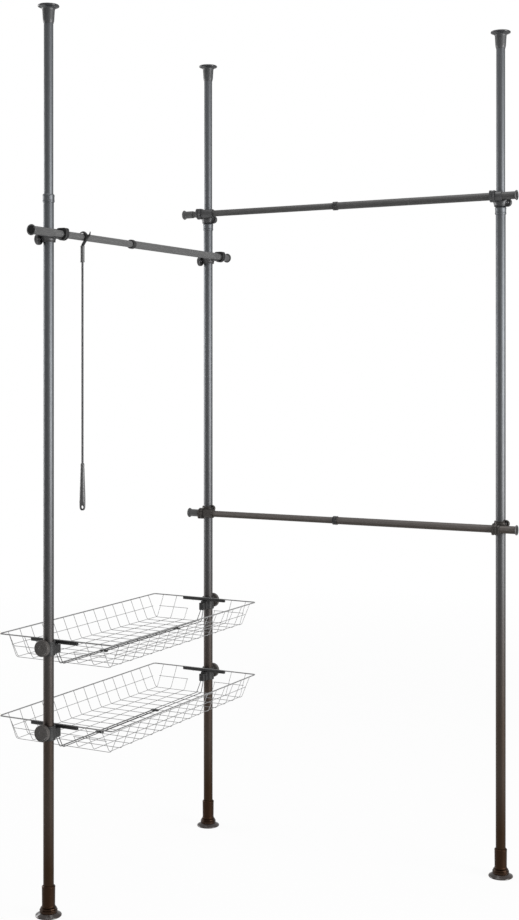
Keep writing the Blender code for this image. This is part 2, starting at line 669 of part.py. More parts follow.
def make_basket(name, rim_z, finish):
    """A welded wire basket: heavy rim, cross wires bent up at the sides, long wires over them."""
    half_length = BASKET_LENGTH / 2.0
    half_width = BASKET_WIDTH / 2.0
    floor_length = BASKET_FLOOR_LENGTH / 2.0
    floor_width = BASKET_FLOOR_WIDTH / 2.0
    floor_z = -BASKET_DEPTH
    belt_z = floor_z * (1.0 - BELT_SHARE)
    place = Vector((0.0, -SIDE_BAY / 2.0, rim_z))
    stack = 2.0 * wire_corner_radius(MESH_WIRE_R, MESH_SIDES) - WELD
    corners = [
        Vector((half_width, -half_length, 0.0)),
        Vector((half_width, half_length, 0.0)),
        Vector((-half_width, half_length, 0.0)),
        Vector((-half_width, -half_length, 0.0)),
    ]
    bend = WIRE_BEND_R
    looped = rounded([corners[-1]] + corners + [corners[0]], bend, BEND_STEPS)[1:-1]
    rim = swept(looped, RIM_WIRE_R, MESH_SIDES, (0.0, 0.0, 1.0), closed=True)
    item = add_object(name, rim, finish["basket_wire"], place)
    cross_shapes = []
    for index in range(CROSS_WIRES):
        y = -floor_length + BASKET_FLOOR_LENGTH * index / (CROSS_WIRES - 1)
        route = [
            Vector((-half_width, y, 0.0)),
            Vector((-floor_width, y, floor_z)),
            Vector((floor_width, y, floor_z)),
            Vector((half_width, y, 0.0)),
        ]
        path = rounded(route, bend, BEND_STEPS)
        cross_shapes.append(swept(path, MESH_WIRE_R, MESH_SIDES, (0.0, 1.0, 0.0), phase=0.0))
    cross = add_object(f"{name}_cross_wires", merged(cross_shapes), finish["basket_wire"], place)
    combine(item, cross, "UNION")
    long_shapes = []
    for index in range(LONG_WIRES):
        order = index - (LONG_WIRES - 1) / 2.0
        x = LONG_WIRE_STEP * order
        top_z = floor_z + stack
        if order == 0.0:
            end = floor_length + stack
            path = [Vector((x, -end, top_z)), Vector((x, end, top_z))]
        else:
            share = BELT_SHARE if abs(order) == 1.0 else 1.0
            end_y = floor_length + (half_length - floor_length) * share
            end_z = floor_z * (1.0 - share)
            route = [
                Vector((x, -end_y, end_z)),
                Vector((x, -floor_length, top_z)),
                Vector((x, floor_length, top_z)),
                Vector((x, end_y, end_z)),
            ]
            path = rounded(route, bend, BEND_STEPS)
        long_shapes.append(swept(path, MESH_WIRE_R, MESH_SIDES, (1.0, 0.0, 0.0), phase=0.0))
    long_wires = add_object(f"{name}_long_wires", merged(long_shapes), finish["basket_wire"], place)
    combine(item, long_wires, "UNION")
    belt_shapes = []
    side_x = floor_width + (half_width - floor_width) * BELT_SHARE - stack
    end_y = floor_length + (half_length - floor_length) * BELT_SHARE - stack
    overrun = 2.0 * stack
    for side in (-1.0, 1.0):
        route = [
            Vector((side * side_x, -floor_length - overrun, belt_z)),
            Vector((side * side_x, floor_length + overrun, belt_z)),
        ]
        belt_shapes.append(swept(route, MESH_WIRE_R, MESH_SIDES, (0.0, 0.0, 1.0), phase=0.0))
        for end in (-1.0, 1.0):
            outer_x = LONG_WIRE_STEP * (LONG_WIRES - 1) / 2.0 + overrun
            route = [
                Vector((side * (LONG_WIRE_STEP - overrun), end * end_y, belt_z)),
                Vector((side * outer_x, end * end_y, belt_z)),
            ]
            belt_shapes.append(swept(route, MESH_WIRE_R, MESH_SIDES, (0.0, 0.0, 1.0), phase=0.0))
    belts = add_object(f"{name}_belts", merged(belt_shapes), finish["basket_wire"], place)
    combine(item, belts, "UNION")


def make_holder(basket, letter, rim_z, finish):
    """The clamp on the pole with the trough for the rim and the socket for the support wires.

    In the piece's own frame the pole is along Z, the basket is towards +Y and the knob towards -Y.
    """
    base = POLES[letter]
    turn = 0.0 if letter == "a" else math.pi
    place = base + Vector((0.0, 0.0, rim_z))
    spin = (0.0, 0.0, turn)
    name = f"{basket}_holder_{letter}"
    black = finish["black_plastic"]
    trough_low = -TROUGH_HEIGHT + TROUGH_LIP
    ring_low = TROUGH_LIP - HOLDER_HEIGHT
    ring_r = LOWER_TUBE_R + HOLDER_WALL
    item = add_object(name, rod(ring_r, ring_low, TROUGH_LIP, TUBE_SIDES), black, place, spin)
    half = TROUGH_LENGTH / 2.0
    trough = block(
        (-half, RIM_REACH - TROUGH_WIDTH / 2.0, trough_low),
        (half, RIM_REACH + TROUGH_WIDTH / 2.0, TROUGH_LIP),
        TROUGH_LIP,
    )
    arm_low = ring_low + TROUGH_LIP
    arm = block(
        (-ARM_WIDTH / 2.0, LOWER_TUBE_R / 2.0, arm_low),
        (ARM_WIDTH / 2.0, RIM_REACH + TROUGH_WIDTH / 2.0 - TROUGH_LIP, -TROUGH_LIP),
    )
    socket_top = -SOCKET_TOP_DROP
    socket = block(
        (-SOCKET_WIDTH / 2.0, RIM_REACH, socket_top - SOCKET_HEIGHT),
        (SOCKET_WIDTH / 2.0, RIM_REACH + SOCKET_PAST_RIM, socket_top),
    )
    knob_z = -KNOB_DROP
    boss = across_rail(rod(BOSS_R, -BOSS_REACH, 0.0, SMALL_SIDES), 0.0, knob_z)
    pole_bore_r = LOWER_TUBE_R + SEAT_GAP
    depth = 2.0 * HOLDER_HEIGHT
    pole_bore = rod(pole_bore_r, -depth, depth, TUBE_SIDES)
    groove_half = wire_half_flat(RIM_WIRE_R, MESH_SIDES) + SEAT_GAP
    groove = block(
        (-half - TROUGH_WIDTH, RIM_REACH - groove_half, -groove_half),
        (half + TROUGH_WIDTH, RIM_REACH + groove_half, TROUGH_WIDTH),
    )
    shank_bore_r = bore_radius(KNOB_SHANK_R, SLIDE_GAP, SMALL_SIDES)
    shank_bore = across_rail(rod(shank_bore_r, -2.0 * BOSS_REACH, 0.0, SMALL_SIDES), 0.0, knob_z)
    wire_bore_r = bore_radius(wire_corner_radius(SUPPORT_WIRE_R, ROD_SIDES), SEAT_GAP, ROD_SIDES)
    leg = RIM_REACH + SUPPORT_LEG_IN
    socket_bores = []
    for side in (-1.0, 1.0):
        low_z = socket_top - SOCKET_HEIGHT
        route = [
            Vector((side * SUPPORT_TOP_SPREAD, leg, low_z - TROUGH_WIDTH)),
            Vector((side * SUPPORT_TOP_SPREAD, leg, low_z + SUPPORT_SEAT_DEPTH + SEAT_GAP)),
        ]
        socket_bores.append(swept(route, wire_bore_r, ROD_SIDES, (1.0, 0.0, 0.0)))
    tools = (
        ("trough", trough, "UNION"),
        ("arm", arm, "UNION"),
        ("socket", socket, "UNION"),
        ("boss", boss, "UNION"),
        ("pole_bore", pole_bore, "DIFFERENCE"),
        ("groove", groove, "DIFFERENCE"),
        ("shank_bore", shank_bore, "DIFFERENCE"),
        ("socket_bores", merged(socket_bores), "DIFFERENCE"),
    )
    for label, shape, operation in tools:
        tool = add_object(f"{name}_{label}", shape, black, place, spin)
        combine(item, tool, operation, "MANIFOLD")
    knob_low = BOSS_REACH + SEAT_GAP
    knob_high = knob_low + KNOB_THICK
    shank_tip = LOWER_TUBE_R + SEAT_GAP
    knob = [
        (0.0, shank_tip),
        (KNOB_SHANK_R, shank_tip),
        (KNOB_SHANK_R, knob_low),
        (KNOB_R, knob_low),
        (KNOB_R, knob_high - KNOB_CHAMFER),
        (KNOB_R - KNOB_CHAMFER, knob_high),
        (0.0, knob_high),
    ]
    knob_place = place + Vector((0.0, 0.0, knob_z))
    away = (math.pi / 2.0, 0.0, turn)
    add_object(f"{basket}_knob_{letter}", turned(knob, DISC_SIDES), black, knob_place, away)


def make_support(basket, letter, rim_z, clips, finish):
    """Two wires that drop from the holder's socket and run under the basket floor to a clip.

    The wires from pole A pass through the clip of those from pole B, and the other way round. The
    clips are given as how far each of the two lies from pole B.
    """
    base = POLES[letter]
    turn = 0.0 if letter == "a" else math.pi
    place = base + Vector((0.0, 0.0, rim_z))
    name = f"{basket}_support_{letter}"
    rod_corner = wire_corner_radius(SUPPORT_WIRE_R, ROD_SIDES)
    floor_bottom = -BASKET_DEPTH - wire_corner_radius(MESH_WIRE_R, MESH_SIDES)
    wire_z = floor_bottom - SEAT_GAP - rod_corner
    nested = SUPPORT_SPREAD - 2.0 * rod_corner - SEAT_GAP * 2.0
    spread = nested if letter == "a" else SUPPORT_SPREAD
    other = SUPPORT_SPREAD if letter == "a" else nested
    reach = SIDE_BAY - clips[0] if letter == "a" else clips[1]
    seat_top = -SOCKET_TOP_DROP - SOCKET_HEIGHT + SUPPORT_SEAT_DEPTH
    socket_low = -SOCKET_TOP_DROP - SOCKET_HEIGHT
    leg = RIM_REACH + SUPPORT_LEG_IN
    wires = []
    for side in (-1.0, 1.0):
        route = [
            Vector((side * SUPPORT_TOP_SPREAD, leg, seat_top)),
            Vector((side * SUPPORT_TOP_SPREAD, leg, socket_low - SUPPORT_WIRE_R)),
            Vector((side * spread, RIM_REACH + SUPPORT_LEG_OUT, wire_z)),
            Vector((side * spread, reach, wire_z)),
        ]
        path = [route[0]] + rounded(route[1:], SUPPORT_BEND_R, SUPPORT_BEND_STEPS)
        wires.append(swept(path, SUPPORT_WIRE_R, ROD_SIDES, (1.0, 0.0, 0.0)))
    steel = finish["basket_wire"]
    half_clip = CLIP_LENGTH / 2.0
    body = block(
        (-CLIP_WIDTH / 2.0, reach - half_clip, wire_z - CLIP_HEIGHT / 2.0),
        (CLIP_WIDTH / 2.0, reach + half_clip, -BASKET_DEPTH - 2.0 * MESH_WIRE_R),
    )
    item = add_object(name, body, steel, place, (0.0, 0.0, turn))
    combine(item, add_object(f"{name}_wires", merged(wires), steel, place, (0.0, 0.0, turn)), "UNION")
    wire_bore_r = bore_radius(rod_corner, SEAT_GAP, ROD_SIDES)
    bores = []
    for side in (-1.0, 1.0):
        route = [
            Vector((side * other, reach - CLIP_LENGTH, wire_z)),
            Vector((side * other, reach + CLIP_LENGTH, wire_z)),
        ]
        bores.append(swept(route, wire_bore_r, ROD_SIDES, (1.0, 0.0, 0.0)))
    combine(item, add_object(f"{name}_bores", merged(bores), steel, place, (0.0, 0.0, turn)), "DIFFERENCE")


def end_wedges():
    """Two wedges that thin the handle's end along Y, from its full round down to a flat tip."""
    wedges = []
    outer = 2.0 * HANDLE_END_R
    for side in (-1.0, 1.0):
        wedge = bmesh.new()
        corners = []
        for across in (-outer, outer):
            section = (
                (side * HANDLE_FLAT_HALF, -HANDLE_HOLE_UP),
                (side * HANDLE_FLAT_HALF, HANDLE_HOLE_UP + HANDLE_HOLE_R),
                (side * HANDLE_END_R, HANDLE_FLAT_LENGTH),
                (side * outer, HANDLE_FLAT_LENGTH),
                (side * outer, -HANDLE_HOLE_UP),
            )
            corners.append([wedge.verts.new((across, y, z)) for y, z in section])
        left, right = corners
        for index in range(len(left)):
            beyond = (index + 1) % len(left)
            wedge.faces.new((left[index], left[beyond], right[beyond], right[index]))
        wedge.faces.new(left)
        wedge.faces.new(right)
        bmesh.ops.recalc_face_normals(wedge, faces=wedge.faces)
        wedges.append(wedge)
    return merged(wedges)


def make_retriever(finish):
    """The hanger retriever: forked hook over the rail, ferrule, shaft and drilled handle.

    In the piece's own frame the rail's axis is at the origin and the fork opens towards +X.
    """
    place = Vector((RAIL_OFFSET, -RETRIEVER_FROM_B, SIDE_RAIL_Z))
    wire_corner = wire_corner_radius(HOOK_WIRE_R, ROD_SIDES)
    arc_r = RAIL_INNER_R + SEAT_GAP + wire_corner
    arc = []
    for step in range(HOOK_STEPS + 1):
        angle = math.radians(HOOK_OPEN_DEG + (HOOK_CLOSE_DEG - HOOK_OPEN_DEG) * step / HOOK_STEPS)
        arc.append(Vector((arc_r * math.cos(angle), 0.0, arc_r * math.sin(angle))))
    stem_low = -FERRULE_DROP - FERRULE_LENGTH / 2.0
    tail = [Vector((0.0, 0.0, stem_low)), Vector((0.0, 0.0, -FERRULE_DROP + HOOK_WIRE_R))]
    hook = swept(tail + arc, HOOK_WIRE_R, ROD_SIDES, (0.0, 1.0, 0.0))
    item = add_object("retriever_hook", hook, finish["black_plastic"], place)
    prong = [arc[1] + Vector((PRONG_REACH * out, 0.0, PRONG_RISE * up)) for out, up in PRONG_CURVE]
    prong_shape = swept(prong, PRONG_WIRE_R, ROD_SIDES, (0.0, 1.0, 0.0))
    combine(item, add_object("retriever_prong", prong_shape, finish["black_plastic"], place), "UNION")
    bore = bore_radius(wire_corner, SEAT_GAP, SMALL_SIDES)
    ferrule_top = -FERRULE_DROP
    ferrule_low = -FERRULE_DROP - FERRULE_LENGTH
    ferrule = [
        (FERRULE_R, ferrule_top - CAP_CHAMFER),
        (FERRULE_R, ferrule_low + CAP_CHAMFER),
        (FERRULE_R - CAP_CHAMFER / 2.0, ferrule_low),
        (bore, ferrule_low),
        (bore, ferrule_top),
        (FERRULE_R - CAP_CHAMFER / 2.0, ferrule_top),
    ]
    add_object("retriever_ferrule", turned(ferrule, SMALL_SIDES), finish["grey_plastic"], place)
    shaft = [
        (0.0, stem_low - SEAT_GAP),
        (0.0, -SHAFT_END_DROP),
        (HOOK_WIRE_R, -SHAFT_END_DROP),
        (HOOK_WIRE_R, stem_low - SEAT_GAP),
    ]
    add_object("retriever_shaft", turned(shaft, SMALL_SIDES), finish["retriever_steel"], place)
    handle_low = -HANDLE_DROP - HANDLE_LENGTH
    shaft_bore = bore_radius(HOOK_WIRE_R, SEAT_GAP, SMALL_SIDES)
    handle = [
        (HANDLE_TOP_R, -HANDLE_DROP),
        (shaft_bore, -HANDLE_DROP),
        (shaft_bore, -SHAFT_END_DROP - SEAT_GAP),
        (0.0, -SHAFT_END_DROP - SEAT_GAP),
        (0.0, handle_low),
        (HANDLE_TIP_R, handle_low + HANDLE_TIP_RISE),
        (HANDLE_END_R, handle_low + HANDLE_SHOULDER_RISE),
        (HANDLE_END_R, handle_low + HANDLE_LENGTH * HANDLE_SWELL_SHARE),
        ((HANDLE_TOP_R + HANDLE_END_R) / 2.0, handle_low + HANDLE_LENGTH * HANDLE_WAIST_SHARE),
    ]
    grip = add_object("retriever_handle", turned(handle, SMALL_SIDES), finish["black_plastic"], place)
    hole = across_rail(rod(HANDLE_HOLE_R, -CAP_R, CAP_R, SMALL_SIDES), 0.0, handle_low + HANDLE_HOLE_UP)
    combine(grip, add_object("retriever_handle_hole", hole, finish["black_plastic"], place), "DIFFERENCE")
    tip = place + Vector((0.0, 0.0, handle_low))
    flats = add_object("retriever_handle_flats", end_wedges(), finish["black_plastic"], tip)
    combine(grip, flats, "DIFFERENCE")


def main():
    clear_scene()
    finish = {name: make_material(name, *look) for name, look in FINISHES.items()}
    for letter, base in POLES.items():
        make_foot(letter, base, finish)
        make_pole(letter, base, finish)
    side_start = Vector((RAIL_OFFSET, -SIDE_BAY - SIDE_RAIL_PAST_A, SIDE_RAIL_Z))
    side_collar = SIDE_BAY + SIDE_RAIL_PAST_A - SIDE_COLLAR_FROM_B
    side_whole = SIDE_BAY + SIDE_RAIL_PAST_A + SIDE_RAIL_PAST_B
    side_lengths = (side_collar, side_collar + SIDE_TUBE_HIDDEN, side_whole)
    side_sleeve = SIDE_RAIL_PAST_A - CAP_THICK - SADDLE_BACK - SEAT_GAP
    make_rail("side_rail", side_start, (0.0, 1.0, 0.0), side_lengths, side_sleeve, finish, "side_rail_coat")
    for name, past, height in (
        ("top_rail", TOP_RAIL_PAST_B, TOP_RAIL_Z),
        ("middle_rail", MIDDLE_RAIL_PAST_B, MIDDLE_RAIL_Z),
    ):
        start = Vector((-past, -RAIL_OFFSET, height))
        collar = past + BACK_COLLAR_FROM_B
        lengths = (collar, collar + BACK_TUBE_HIDDEN, past + BACK_BAY + BACK_RAIL_PAST_C)
        make_rail(name, start, (1.0, 0.0, 0.0), lengths, CAP_SLEEVE_LENGTH, finish, "back_rail_coat")
    thin_on_lower = (LOWER_TUBE_R, RAIL_INNER_R)
    thick_on_lower = (LOWER_TUBE_R, RAIL_R)
    thin_on_upper = (UPPER_TUBE_R, RAIL_INNER_R)
    thick_on_upper = (UPPER_TUBE_R, RAIL_R)
    side = (SIDE_RAIL_Z, -math.pi / 2.0)
    top = (TOP_RAIL_Z, math.pi)
    middle = (MIDDLE_RAIL_Z, math.pi)
    side_boss = (SIDE_BOSS_R, SIDE_BOSS_OUT, SIDE_BOSS_DROP, SIDE_BOSS_START)
    top_boss = (TOP_BOSS_R, TOP_BOSS_OUT, TOP_BOSS_DROP, TOP_BOSS_START)
    middle_boss = (MIDDLE_BOSS_R, MIDDLE_BOSS_OUT, MIDDLE_BOSS_DROP, MIDDLE_BOSS_START)
    side_form = ((-1.0, 1.0, SIDE_JAW_START), SIDE_BRACKET_DROP, side_boss)
    top_form = ((1.0, 1.0, TOP_JAW_START), TOP_BRACKET_DROP, top_boss)
    middle_form = ((1.0, -1.0, MIDDLE_JAW_START), MIDDLE_BRACKET_DROP, middle_boss)
    brackets = (
        ("side_rail_bracket", "a", side, thin_on_lower, side_form, None),
        ("side_rail_bracket", "b", side, thick_on_lower, side_form, None),
        ("top_rail_bracket", "b", top, thin_on_upper, top_form, THIN_WRAP_BACK),
        ("top_rail_bracket", "c", top, thick_on_upper, top_form, TOP_WRAP_BACK),
        ("middle_rail_bracket", "b", middle, thin_on_lower, middle_form, THIN_WRAP_BACK),
        ("middle_rail_bracket", "c", middle, thick_on_lower, middle_form, MIDDLE_WRAP_BACK),
    )
    for name, letter, (height, turn), bores, form, wrap in brackets:
        place = POLES[letter] + Vector((0.0, 0.0, height))
        make_bracket(f"{name}_{letter}", place, turn, bores, *form, wrap, finish)
    for basket, rim_z, clips in (
        ("upper_basket", UPPER_RIM_Z, (UPPER_CLIP_A_AT, UPPER_CLIP_B_AT)),
        ("lower_basket", LOWER_RIM_Z, (LOWER_CLIP_A_AT, LOWER_CLIP_B_AT)),
    ):
        make_basket(basket, rim_z, finish)
        for letter in ("a", "b"):
            make_holder(basket, letter, rim_z, finish)
            make_support(basket, letter, rim_z, clips, finish)
    make_retriever(finish)


main()
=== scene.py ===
"""The look of a telescopic corner wardrobe: poles, rails, cross clamps, wire baskets and hanger retriever.

Every piece is a surface worked out from two parameters, placed by the boxes of the loaded solids.
"""

import math

import bmesh
import bpy
import numpy as np
from bpy.props import FloatProperty, FloatVectorProperty, IntProperty, PointerProperty
from bpy.types import Operator, Panel, PropertyGroup
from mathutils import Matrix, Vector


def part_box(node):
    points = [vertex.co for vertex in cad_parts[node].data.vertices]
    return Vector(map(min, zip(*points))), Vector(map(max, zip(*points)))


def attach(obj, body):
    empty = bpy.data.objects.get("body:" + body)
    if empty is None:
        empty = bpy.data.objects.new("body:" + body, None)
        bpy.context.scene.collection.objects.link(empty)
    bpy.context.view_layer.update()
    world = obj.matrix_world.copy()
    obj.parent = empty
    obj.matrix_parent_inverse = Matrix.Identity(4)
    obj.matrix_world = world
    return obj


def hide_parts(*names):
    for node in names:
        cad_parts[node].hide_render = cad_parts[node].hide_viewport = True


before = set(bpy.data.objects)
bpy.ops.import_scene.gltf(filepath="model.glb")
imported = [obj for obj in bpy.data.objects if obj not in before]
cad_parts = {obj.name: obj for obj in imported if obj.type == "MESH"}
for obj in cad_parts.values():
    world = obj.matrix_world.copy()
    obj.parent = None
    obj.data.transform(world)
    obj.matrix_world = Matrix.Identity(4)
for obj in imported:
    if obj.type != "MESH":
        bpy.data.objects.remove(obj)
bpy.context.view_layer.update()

bl_info = {
    "name": "Telescopic corner wardrobe",
    "version": (1, 0, 0),
    "blender": (4, 5, 0),
    "location": "View3D > Sidebar > Wardrobe",
    "description": "Dresses the wardrobe's solids with fine surfaces and coated finishes",
    "category": "Object",
}

POLE_BODY = {"a": "corner_frame", "b": "corner_frame", "c": "end_bay"}
BASKETS = ("upper_basket", "lower_basket")
# Axis, body of the thick tube, and which coat
RAILS = {
    "side_rail": ("Y", "side_rail_outer", "side"),
    "top_rail": ("X", "end_bay", "back"),
    "middle_rail": ("X", "end_bay", "back"),
}
# Poles, length of the sleeve at each, side of the jaw and of the bowl, start of the jaw, depth of the bowl,
# and the boss: radius, out, down and start
CLAMPS = {
    "side_rail": ("ab", (None, None), -1.0, 1.0, 0.0190, 0.0250, (0.0168, 0.0240, 0.0175, -0.0245)),
    "top_rail": ("bc", (0.040, 0.017), 1.0, 1.0, 0.0070, 0.0310, (0.0140, 0.0255, 0.0190, 0.0010)),
    "middle_rail": ("bc", (0.040, 0.010), 1.0, -1.0, -0.0010, 0.0240, (0.0120, 0.0200, 0.0165, 0.0010)),
}
AXIS_ORDER = {"X": (2, 0, 1), "Y": (1, 2, 0), "Z": (0, 1, 2)}
ACROSS, ALONG, UP = (1.0, 0.0, 0.0), (0.0, 1.0, 0.0), (0.0, 0.0, 1.0)
TENTH = 0.0001  # a tenth of a millimetre
SAME_PLACE = 1e-6  # points nearer to each other than this are one
ON_AXIS = 1e-9  # a smaller radius is none
SHARP = math.radians(38.0)  # an edge that turns by more stays sharp
SPINDLE = 0.0060  # radius of a foot's spindle
BAR = 0.030  # from a pole's axis to the bar of a basket holder
BACK = 0.0258  # from a pole's axis to the back of a clamp knob
WIRE_CORNER = 1.2533  # middle to corner of a solid's square wire, over the radius of a round wire of its area
CAMERA_PLACE = (2.5654, -4.4213, 1.6416)
CAMERA_TURN = math.radians(28.04)
FOCAL, SHIFT, TALL = 1410.6, -88.0, 920.0  # in pixels of the picture
WHITE = (1.0, 1.0, 1.0, 1.0)


# Places


def box(node):
    """The lowest corner, highest corner and middle of a solid, as arrays."""
    low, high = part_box(node)
    low = np.array(low)
    high = np.array(high)
    return low, high, (low + high) / 2.0


def span(node, axis="Z"):
    """Where a round solid starts and ends along its axis, and its radius."""
    low, high, _ = box(node)
    along = "XYZ".index(axis)
    across = 0 if axis == "Z" else 2
    return low[along], high[along], (high[across] - low[across]) / 2.0


def floor_point(node):
    """The point of the floor under a solid's middle."""
    return box(node)[2] * (1.0, 1.0, 0.0)


def reach_from(node, y):
    """How far a solid reaches along Y from a place."""
    low, high, _ = box(node)
    return max(abs(low[1] - y), abs(high[1] - y))


def rim_drop(sizes):
    """From the top of a basket's solid, which is the side of a square wire, to the middle of its rim wire."""
    return sizes.rim_seat * WIRE_CORNER / math.sqrt(2.0)


def seats(sizes):
    """Each basket with each of its poles, the place on the pole's axis level with the rim, and the turn of
    pieces that are made with the basket towards +Y."""
    for basket in BASKETS:
        rim = box(basket)[1][2] - rim_drop(sizes)
        for pole, turn in (("a", 0.0), ("b", math.pi)):
            yield basket, pole, floor_point(f"pole_{pole}_lower_tube") + (0.0, 0.0, rim), turn


# Shapes


def outline(*runs):
    """Points of an outline as radius and height.

    A run starts with the radius and height that it is measured from, in metres. Its points follow in tenths
    of a millimetre, with the rounding of their corner as a third number where the corners are eased.
    """
    rows = []
    for r, h, *points in runs:
        row = TENTH * np.array(points, float)
        row[:, :2] += r, h
        rows.append(row)
    return np.concatenate(rows)


def moulding(*runs, steps=5, closed=True):
    """An outline with each corner eased by its own rounding."""
    points = outline(*runs)
    return eased(points[:, :2], points[:, 2], steps, closed)


def eased(points, reach, steps=5, closed=True):
    """Round the corners of a line.

    Each corner becomes a quadratic curve that starts and ends the reach away from it along its two
    sides, though never past 45 hundredths of a side, with the corner as its middle control point.
    """
    corner = np.asarray(points, float)
    wanted = np.broadcast_to(np.asarray(reach, float), len(corner))
    turning = []
    for shift in (1, -1):
        side = np.roll(corner, shift, 0) - corner
        long = np.linalg.norm(side, axis=1)
        turning.append(corner + side * (np.minimum(wanted, 0.45 * long) / long)[:, None])
    start, end = turning
    t = np.linspace(0.0, 1.0, steps)[None, :, None]
    curve = (1 - t) ** 2 * start[:, None] + 2 * t * (1 - t) * corner[:, None] + t**2 * end[:, None]
    if closed:
        return curve.reshape(-1, corner.shape[1])
    return np.concatenate([corner[:1], curve[1:-1].reshape(-1, corner.shape[1]), corner[-1:]])


def woven(points, around=True, along=False):
    """Vertices and quads of a grid of points, joined round its second and first way where asked."""
    rows, columns = points.shape[:2]
    row = np.arange(rows if along else rows - 1)
    column = np.arange(columns if around else columns - 1)
    r, c = (side.ravel() for side in np.meshgrid(row * columns, column, indexing="ij"))
    r_next = (r + columns) % (rows * columns)
    c_next = (c + 1) % columns
    return points.reshape(-1, 3), np.stack([r + c, r + c_next, r_next + c_next, r_next + c], 1)


def circle(segments):
    """Even angles once round."""
    return np.arange(segments) * 2 * np.pi / segments


def turned(profile, base, axis="Z", segments=64, ripple=None, arc=None):
    """A surface of revolution.

    The point of profile (r, h) at angle a lies r cos a and r sin a along the two cross axes and h along
    the axis from the base. A ripple takes r, h and a and gives a changed r. A profile with an end off the
    axis is a closed loop. An arc is the first and last angle of a part turn, whose two ends are closed by
    their own outline.
    """
    profile = np.asarray(profile, float)
    angle = circle(segments) if arc is None else np.linspace(*arc, segments)
    r, h = (way[:, None] + 0.0 * angle for way in profile.T)
    if ripple is not None:
        r = ripple(r, h, angle[None, :])
    local = np.stack([r * np.cos(angle), r * np.sin(angle), h], -1)
    world = local[..., AXIS_ORDER[axis]] + np.asarray(base, float)
    if arc is None:
        return woven(world, True, max(profile[0, 0], profile[-1, 0]) > ON_AXIS)
    middle = np.repeat(world.mean(0, keepdims=True), len(profile), 0)
    return woven(np.concatenate([middle[:, :1], world, middle[:, -1:]], 1), False, True)


def ribbed(count, depth, edge, start, end, fade=0.0010):
    """A ripple of grip ribs: past the edge's radius and between two heights, where they fade in and out,
    the radius is less by the depth times half of one minus cos of the angle times the count."""

    def ripple(r, h, angle):
        band = np.clip((np.abs(h) - start) / 0.0010, 0, 1) * np.clip((end - np.abs(h)) / fade, 0, 1)
        return r - (r > edge) * band * depth * (0.5 - 0.5 * np.cos(count * angle))

    return ripple


def swept(path, radius, normal, segments, closed=False):
    """A round wire along a path.

    At each point of the path two directions square to the tangent are found from the given normal, and
    the ring lies radius cos a along one and radius sin a along the other. Open ends are domed by rings
    that shrink as a half circle.
    """
    path = np.asarray(path, float)
    if closed:
        tangent = np.roll(path, -1, 0) - np.roll(path, 1, 0)
    else:
        tangent = np.gradient(path, axis=0)
    tangent /= np.linalg.norm(tangent, axis=1, keepdims=True)
    reach = np.broadcast_to(np.asarray(radius, float), len(path)).copy()
    if not closed:
        swell = np.array([0.0, 0.5, 0.87])
        bulge = np.array([1.0, 0.87, 0.5])
        head = path[0] - tangent[0] * (reach[0] * bulge)[:, None]
        tail = path[-1] + tangent[-1] * (reach[-1] * bulge[::-1])[:, None]
        path = np.concatenate([head, path, tail])
        tangent = np.concatenate([np.repeat(tangent[:1], 3, 0), tangent, np.repeat(tangent[-1:], 3, 0)])
        reach = np.concatenate([reach[0] * swell, reach, reach[-1] * swell[::-1]])
    side = np.cross(tangent, np.asarray(normal, float))
    side /= np.linalg.norm(side, axis=1, keepdims=True)
    up = np.cross(side, tangent)
    angle = circle(segments)[None, :, None]
    ring = side[:, None] * np.cos(angle) + up[:, None] * np.sin(angle)
    return woven(path[:, None] + ring * reach[:, None, None], True, closed)


def soft_box(low, high, corner, steps=5):
    """A box with round edges.

    Each level is a rectangle grown by a radius that follows a quarter circle of the corner's size at the
    bottom and at the top, so edges and corners are round, and the flat ends close on their middle.
    """
    low = np.asarray(low, float)
    high = np.asarray(high, float)
    half = (high - low) / 2.0
    corner = min(corner, 0.98 * half.min())
    quarter = np.linspace(0.0, np.pi / 2, steps)
    grown = corner * np.sin(np.concatenate([quarter, quarter[::-1]]))
    rise = corner * (1 - np.cos(quarter)) - half[2]
    level = np.concatenate([rise, -rise[::-1]])
    angle = np.concatenate([quarter + k * np.pi / 2 for k in range(4)])
    sign_x = np.repeat([1.0, -1.0, -1.0, 1.0], steps)
    sign_y = np.repeat([1.0, 1.0, -1.0, -1.0], steps)
    x = sign_x * (half[0] - corner) + grown[:, None] * np.cos(angle)
    y = sign_y * (half[1] - corner) + grown[:, None] * np.sin(angle)
    ring = np.stack([x, y, level[:, None] + 0.0 * angle], -1)
    top = np.zeros((1, len(angle), 3)) + (0.0, 0.0, half[2])
    return woven(np.concatenate([-top, ring, top]) + (low + high) / 2.0)


def placed(part, place, turn=0.0, scale=(1.0, 1.0, 1.0)):
    """A part scaled, turned about Z and moved to its place."""
    points, faces = part
    c, s = math.cos(turn), math.sin(turn)
    spin = np.array([[c, -s, 0.0], [s, c, 0.0], [0.0, 0.0, 1.0]])
    return points * scale @ spin.T + np.asarray(place, float), faces


# Meshes


def closed_mesh(name, parts):
    """Put parts into one mesh, close its seams and point its faces out."""
    starts = np.cumsum([0] + [len(points) for points, _ in parts])
    faces = np.concatenate([part[1] + start for part, start in zip(parts, starts)])
    mesh = bpy.data.meshes.new(name)
    mesh.from_pydata(np.concatenate([points for points, _ in parts]), [], faces.tolist())
    shell = bmesh.new()
    shell.from_mesh(mesh)
    bmesh.ops.remove_doubles(shell, verts=shell.verts, dist=SAME_PLACE)
    bmesh.ops.dissolve_degenerate(shell, edges=shell.edges, dist=SAME_PLACE / 10.0)
    bmesh.ops.recalc_face_normals(shell, faces=shell.faces)
    shell.to_mesh(mesh)
    shell.free()
    return mesh


